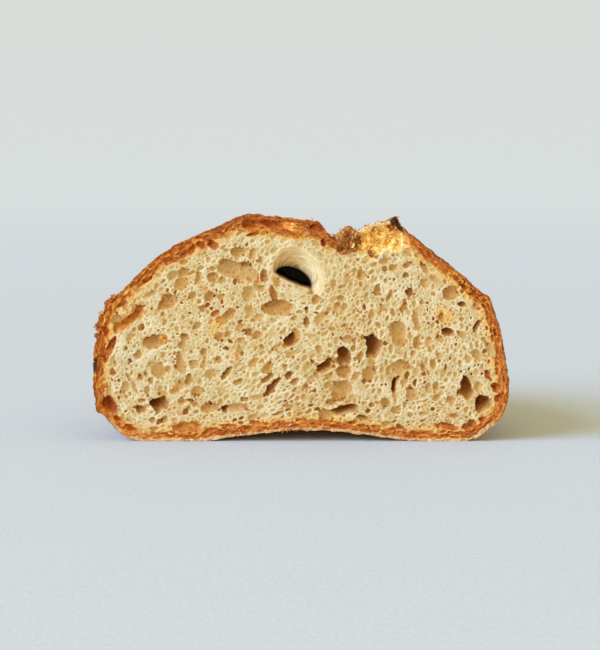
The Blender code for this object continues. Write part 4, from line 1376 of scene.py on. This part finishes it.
def make_flakes(places, normals, marks):
    """Crust broken off along the cut's edge, at the left shoulder and in the score."""
    draw = np.random.default_rng(71)
    y = places[:, :, 1]
    area = np.linalg.norm(np.gradient(places, axis=0), axis=2) * (places[:, :, 2] > 1.5)
    parts = []
    for weight, count, smallest, largest, sink in (
        (marks["flaky"] * (y < 9), 520, 0.5, 1.5, 0.2),
        ((y < 1.6) * (1 - marks["score"]), 900, 0.25, 0.6, 0.1),
        (marks["score"] * (y > 4) * (y < 60), 700, 0.35, 0.95, 0.2),
        ((marks["ear"] > 0.3) * (y < 70), 260, 0.4, 0.9, 0.2),
    ):
        at = picked(weight * area, count, draw)
        sizes = mostly_small(smallest, largest, count, draw)
        middle = places[at] - normals[at] * sizes[:, None] * sink
        parts.append(chips(middle, normals[at], sizes, draw, 0.7))
    for weight, count, shortest, longest in (
        (marks["flaky"] * (y < 6), 70, 0.7, 1.6),
        (marks["score"] * (y < 5), 40, 0.6, 1.3),
        (marks["score"] * (y < 60), 500, 0.8, 2.2),
    ):
        at = picked(weight * area, count, draw)
        sizes = mostly_small(shortest, longest, count, draw)
        parts.append(shreds(places[at], normals[at] + (0, -0.3, 0), sizes, draw))
    corners, faces, shades = joined(*parts)
    make_piece("crust_flakes", corners, faces, scrap_material("flakes", FLAKE_SHADES), {"shade": shades})


def make_shags(crumb):
    """Torn shreds and bits: the score's golden bed, its brown mound of fanned fibres, and the ear's tip."""
    draw = np.random.default_rng(73)
    inside = crumb.edge < -0.2
    for name, eggs, middle, shred_count, chip_count, longest, shades in (
        ("score_gold", TORN, (31, 80), 150, 170, 1.8, GOLD_SHADES),
        ("score_brown", MOUND, (20.6, 83.5), 340, 150, 3.2, BROWN_SHADES),
        ("ear_shards", EAR, (40, 93), 30, 40, 1.8, BURNT_SHADES),
    ):
        weight = inside * smooth(1.1, 0.9, nearest_egg(crumb.flat_x, crumb.flat_z, eggs))
        parts = []
        for count, smallest, largest in ((shred_count, 0.8, longest), (chip_count, 0.7, 1.9)):
            i, k = picked(weight, count, draw)
            places = np.stack((crumb.x[i], crumb.front[i, k] + 0.1, crumb.z[k]), axis=1)
            away = unit(places[:, [0, 2]] - middle)
            facing = np.stack((away[:, 0], np.full(count, -0.6), away[:, 1]), axis=1)
            sizes = mostly_small(smallest, largest, count, draw)
            if count == shred_count:
                parts.append(shreds(places, facing, sizes, draw, 0.35))
            else:
                parts.append(chips(places, facing, sizes, draw))
        corners, faces, own = joined(*parts)
        out = np.hypot(corners[:, 0] - middle[0], corners[:, 2] - middle[1]) / 8
        own = 0.2 * own + 0.45 * (0.5 + 0.8 * noise_at(corners, 3, 74)) + 0.35 * np.minimum(out, 1)
        make_piece(name, corners, faces, scrap_material(name, shades), {"shade": own})


def make_spots():
    """Bits baked into the crumb, which the knife cut through: orange ones, dark ones and pale ones."""
    for name, spots, low, high in (
        ("orange_bits", ORANGE_BITS, (226, 112, 24), (250, 178, 78)),
        ("dark_bits", DARK_BITS, (30, 16, 8), (84, 50, 24)),
        ("pale_bits", PALE_BITS, (214, 200, 178), (244, 236, 222)),
    ):
        draw = np.random.default_rng(72)
        spots = np.array(spots, float)
        middle = np.stack((spots[:, 0], spots[:, 3], spots[:, 1]), axis=1)
        copies = np.repeat(middle, 3, axis=0) + draw.normal(0, 0.35, (len(spots) * 3, 3)) * (1, 0.4, 1)
        facing = np.tile((0.0, -1.0, 0.0), (len(copies), 1))
        corners, faces, _ = chips(copies, facing, np.repeat(spots[:, 2], 3) * 0.6, draw, 0.35, 0.35)
        make_piece(name, corners, faces, spot_material(name, low, high))


def make_camera():
    data = bpy.data.cameras.new("camera")
    camera = bpy.data.objects.new("camera", data)
    bpy.context.scene.collection.objects.link(camera)
    aim = Vector((VIEW_MIDDLE[0], CUT_Y, VIEW_MIDDLE[1])) / 1000
    back = math.radians(VIEW_ELEVATION)
    away = Vector((0, -math.cos(back), math.sin(back))) * VIEW_DISTANCE / 1000
    camera.location = aim + away
    camera.rotation_euler = (-away).to_track_quat("-Z", "Y").to_euler()
    data.sensor_fit = "HORIZONTAL"
    data.sensor_width = SENSOR
    data.lens = SENSOR * VIEW_DISTANCE / VIEW_WIDTH
    data.clip_end = 20
    bpy.context.scene.camera = camera


def room_colour(paint):
    """The backdrop's colour at a height: bluer low down and paler above."""
    height = paint.node("ShaderNodeSeparateXYZ")
    paint.put(height.inputs[0], paint.place)
    return paint.ramp(paint.between(height.outputs["Z"], -0.1, 0.45), (0, ROOM_LOW), (1, ROOM_HIGH))


def glow(paint, colour):
    made = paint.node("ShaderNodeEmission")
    paint.put(made.inputs["Color"], colour)
    return made.outputs[0]


def make_ground():
    """A wide pale ground that melts into the backdrop's colour away from the loaf."""
    bpy.ops.mesh.primitive_circle_add(vertices=96, radius=ROOM_RADIUS, fill_type="NGON")
    ground = bpy.context.object
    ground.name = "ground"
    ground.location.z = -0.00005
    paint = Paint("ground")
    length = paint.node("ShaderNodeVectorMath", operation="LENGTH")
    paint.put(length.inputs[0], paint.place)
    fibres = paint.node("ShaderNodeMapping")
    paint.put(fibres.inputs["Vector"], paint.place)
    paint.put(fibres.inputs["Scale"], (700, 380, 700))
    mottled = paint.plus(
        paint.times(paint.noise(1, 3, 0.7, fibres.outputs[0]), 0.9), paint.times(paint.noise(40, 4, 0.6), 0.1)
    )
    colour = paint.ramp(mottled, (0.35, GROUND_LOW), (0.65, GROUND_HIGH))
    paint.bump(paint.noise(1.5, 3, 0.6), 0.08, 0.5)
    paint.finish(colour, 0.9, 0.15)
    blend = paint.node("ShaderNodeMixShader")
    paint.put(blend.inputs[0], paint.between(length.outputs["Value"], 0.3, 0.95))
    paint.put(blend.inputs[1], paint.shader.outputs[0])
    far = paint.ramp(paint.between(length.outputs["Value"], 0.8, 2.4), (0, ROOM_NEAR), (1, ROOM_LOW))
    paint.put(blend.inputs[2], glow(paint, far))
    paint.put(paint.tree.nodes["Material Output"].inputs["Surface"], blend.outputs[0])
    ground.data.materials.append(paint.material)


def make_backdrop():
    """A pale dome all round, which the camera sees and which lights nothing."""
    bpy.ops.mesh.primitive_uv_sphere_add(segments=64, ring_count=32, radius=ROOM_RADIUS)
    dome = bpy.context.object
    dome.name = "backdrop"
    paint = Paint("backdrop")
    paint.put(paint.tree.nodes["Material Output"].inputs["Surface"], glow(paint, room_colour(paint)))
    dome.data.materials.append(paint.material)
    dome.visible_diffuse = dome.visible_glossy = dome.visible_transmission = dome.visible_shadow = False


def make_key():
    """Light from a big window, far enough off to be even over the whole ground."""
    data = bpy.data.lights.new("key", "SUN")
    data.angle = math.radians(KEY_SPREAD)
    data.energy = KEY_STRENGTH
    data.color = KEY_COLOUR
    lamp = bpy.data.objects.new("key", data)
    lamp.rotation_euler = (-Vector(KEY_SIDE)).to_track_quat("-Z", "Y").to_euler()
    bpy.context.scene.collection.objects.link(lamp)


def make_fill():
    """A wide warm card in front, which softens the relief of the cut."""
    data = bpy.data.lights.new("fill", "AREA")
    data.size = FILL_SIZE
    data.energy = FILL_POWER
    data.color = tone(*WARM_ROOM)[:3]
    fill = bpy.data.objects.new("fill", data)
    fill.location = FILL_PLACE
    fill.rotation_euler = (-Vector(FILL_PLACE)).to_track_quat("-Z", "Y").to_euler()
    bpy.context.scene.collection.objects.link(fill)


def make_studio():
    """Cool window light from the left over a warm, even room."""
    scene = bpy.context.scene
    scene.view_settings.view_transform = "Standard"
    world = bpy.data.worlds.new("room")
    world.use_nodes = True
    background = world.node_tree.nodes["Background"]
    background.inputs["Color"].default_value = tone(*WARM_ROOM)
    background.inputs["Strength"].default_value = 1
    scene.world = world
    make_key()
    make_fill()


def build():
    places, normals, marks = make_crust()
    crumb = make_crumb(places[0][:, [0, 2]])
    make_shags(crumb)
    make_flakes(places, normals, marks)
    make_spots()
    make_ground()
    make_backdrop()
    make_camera()
    make_studio()


build()
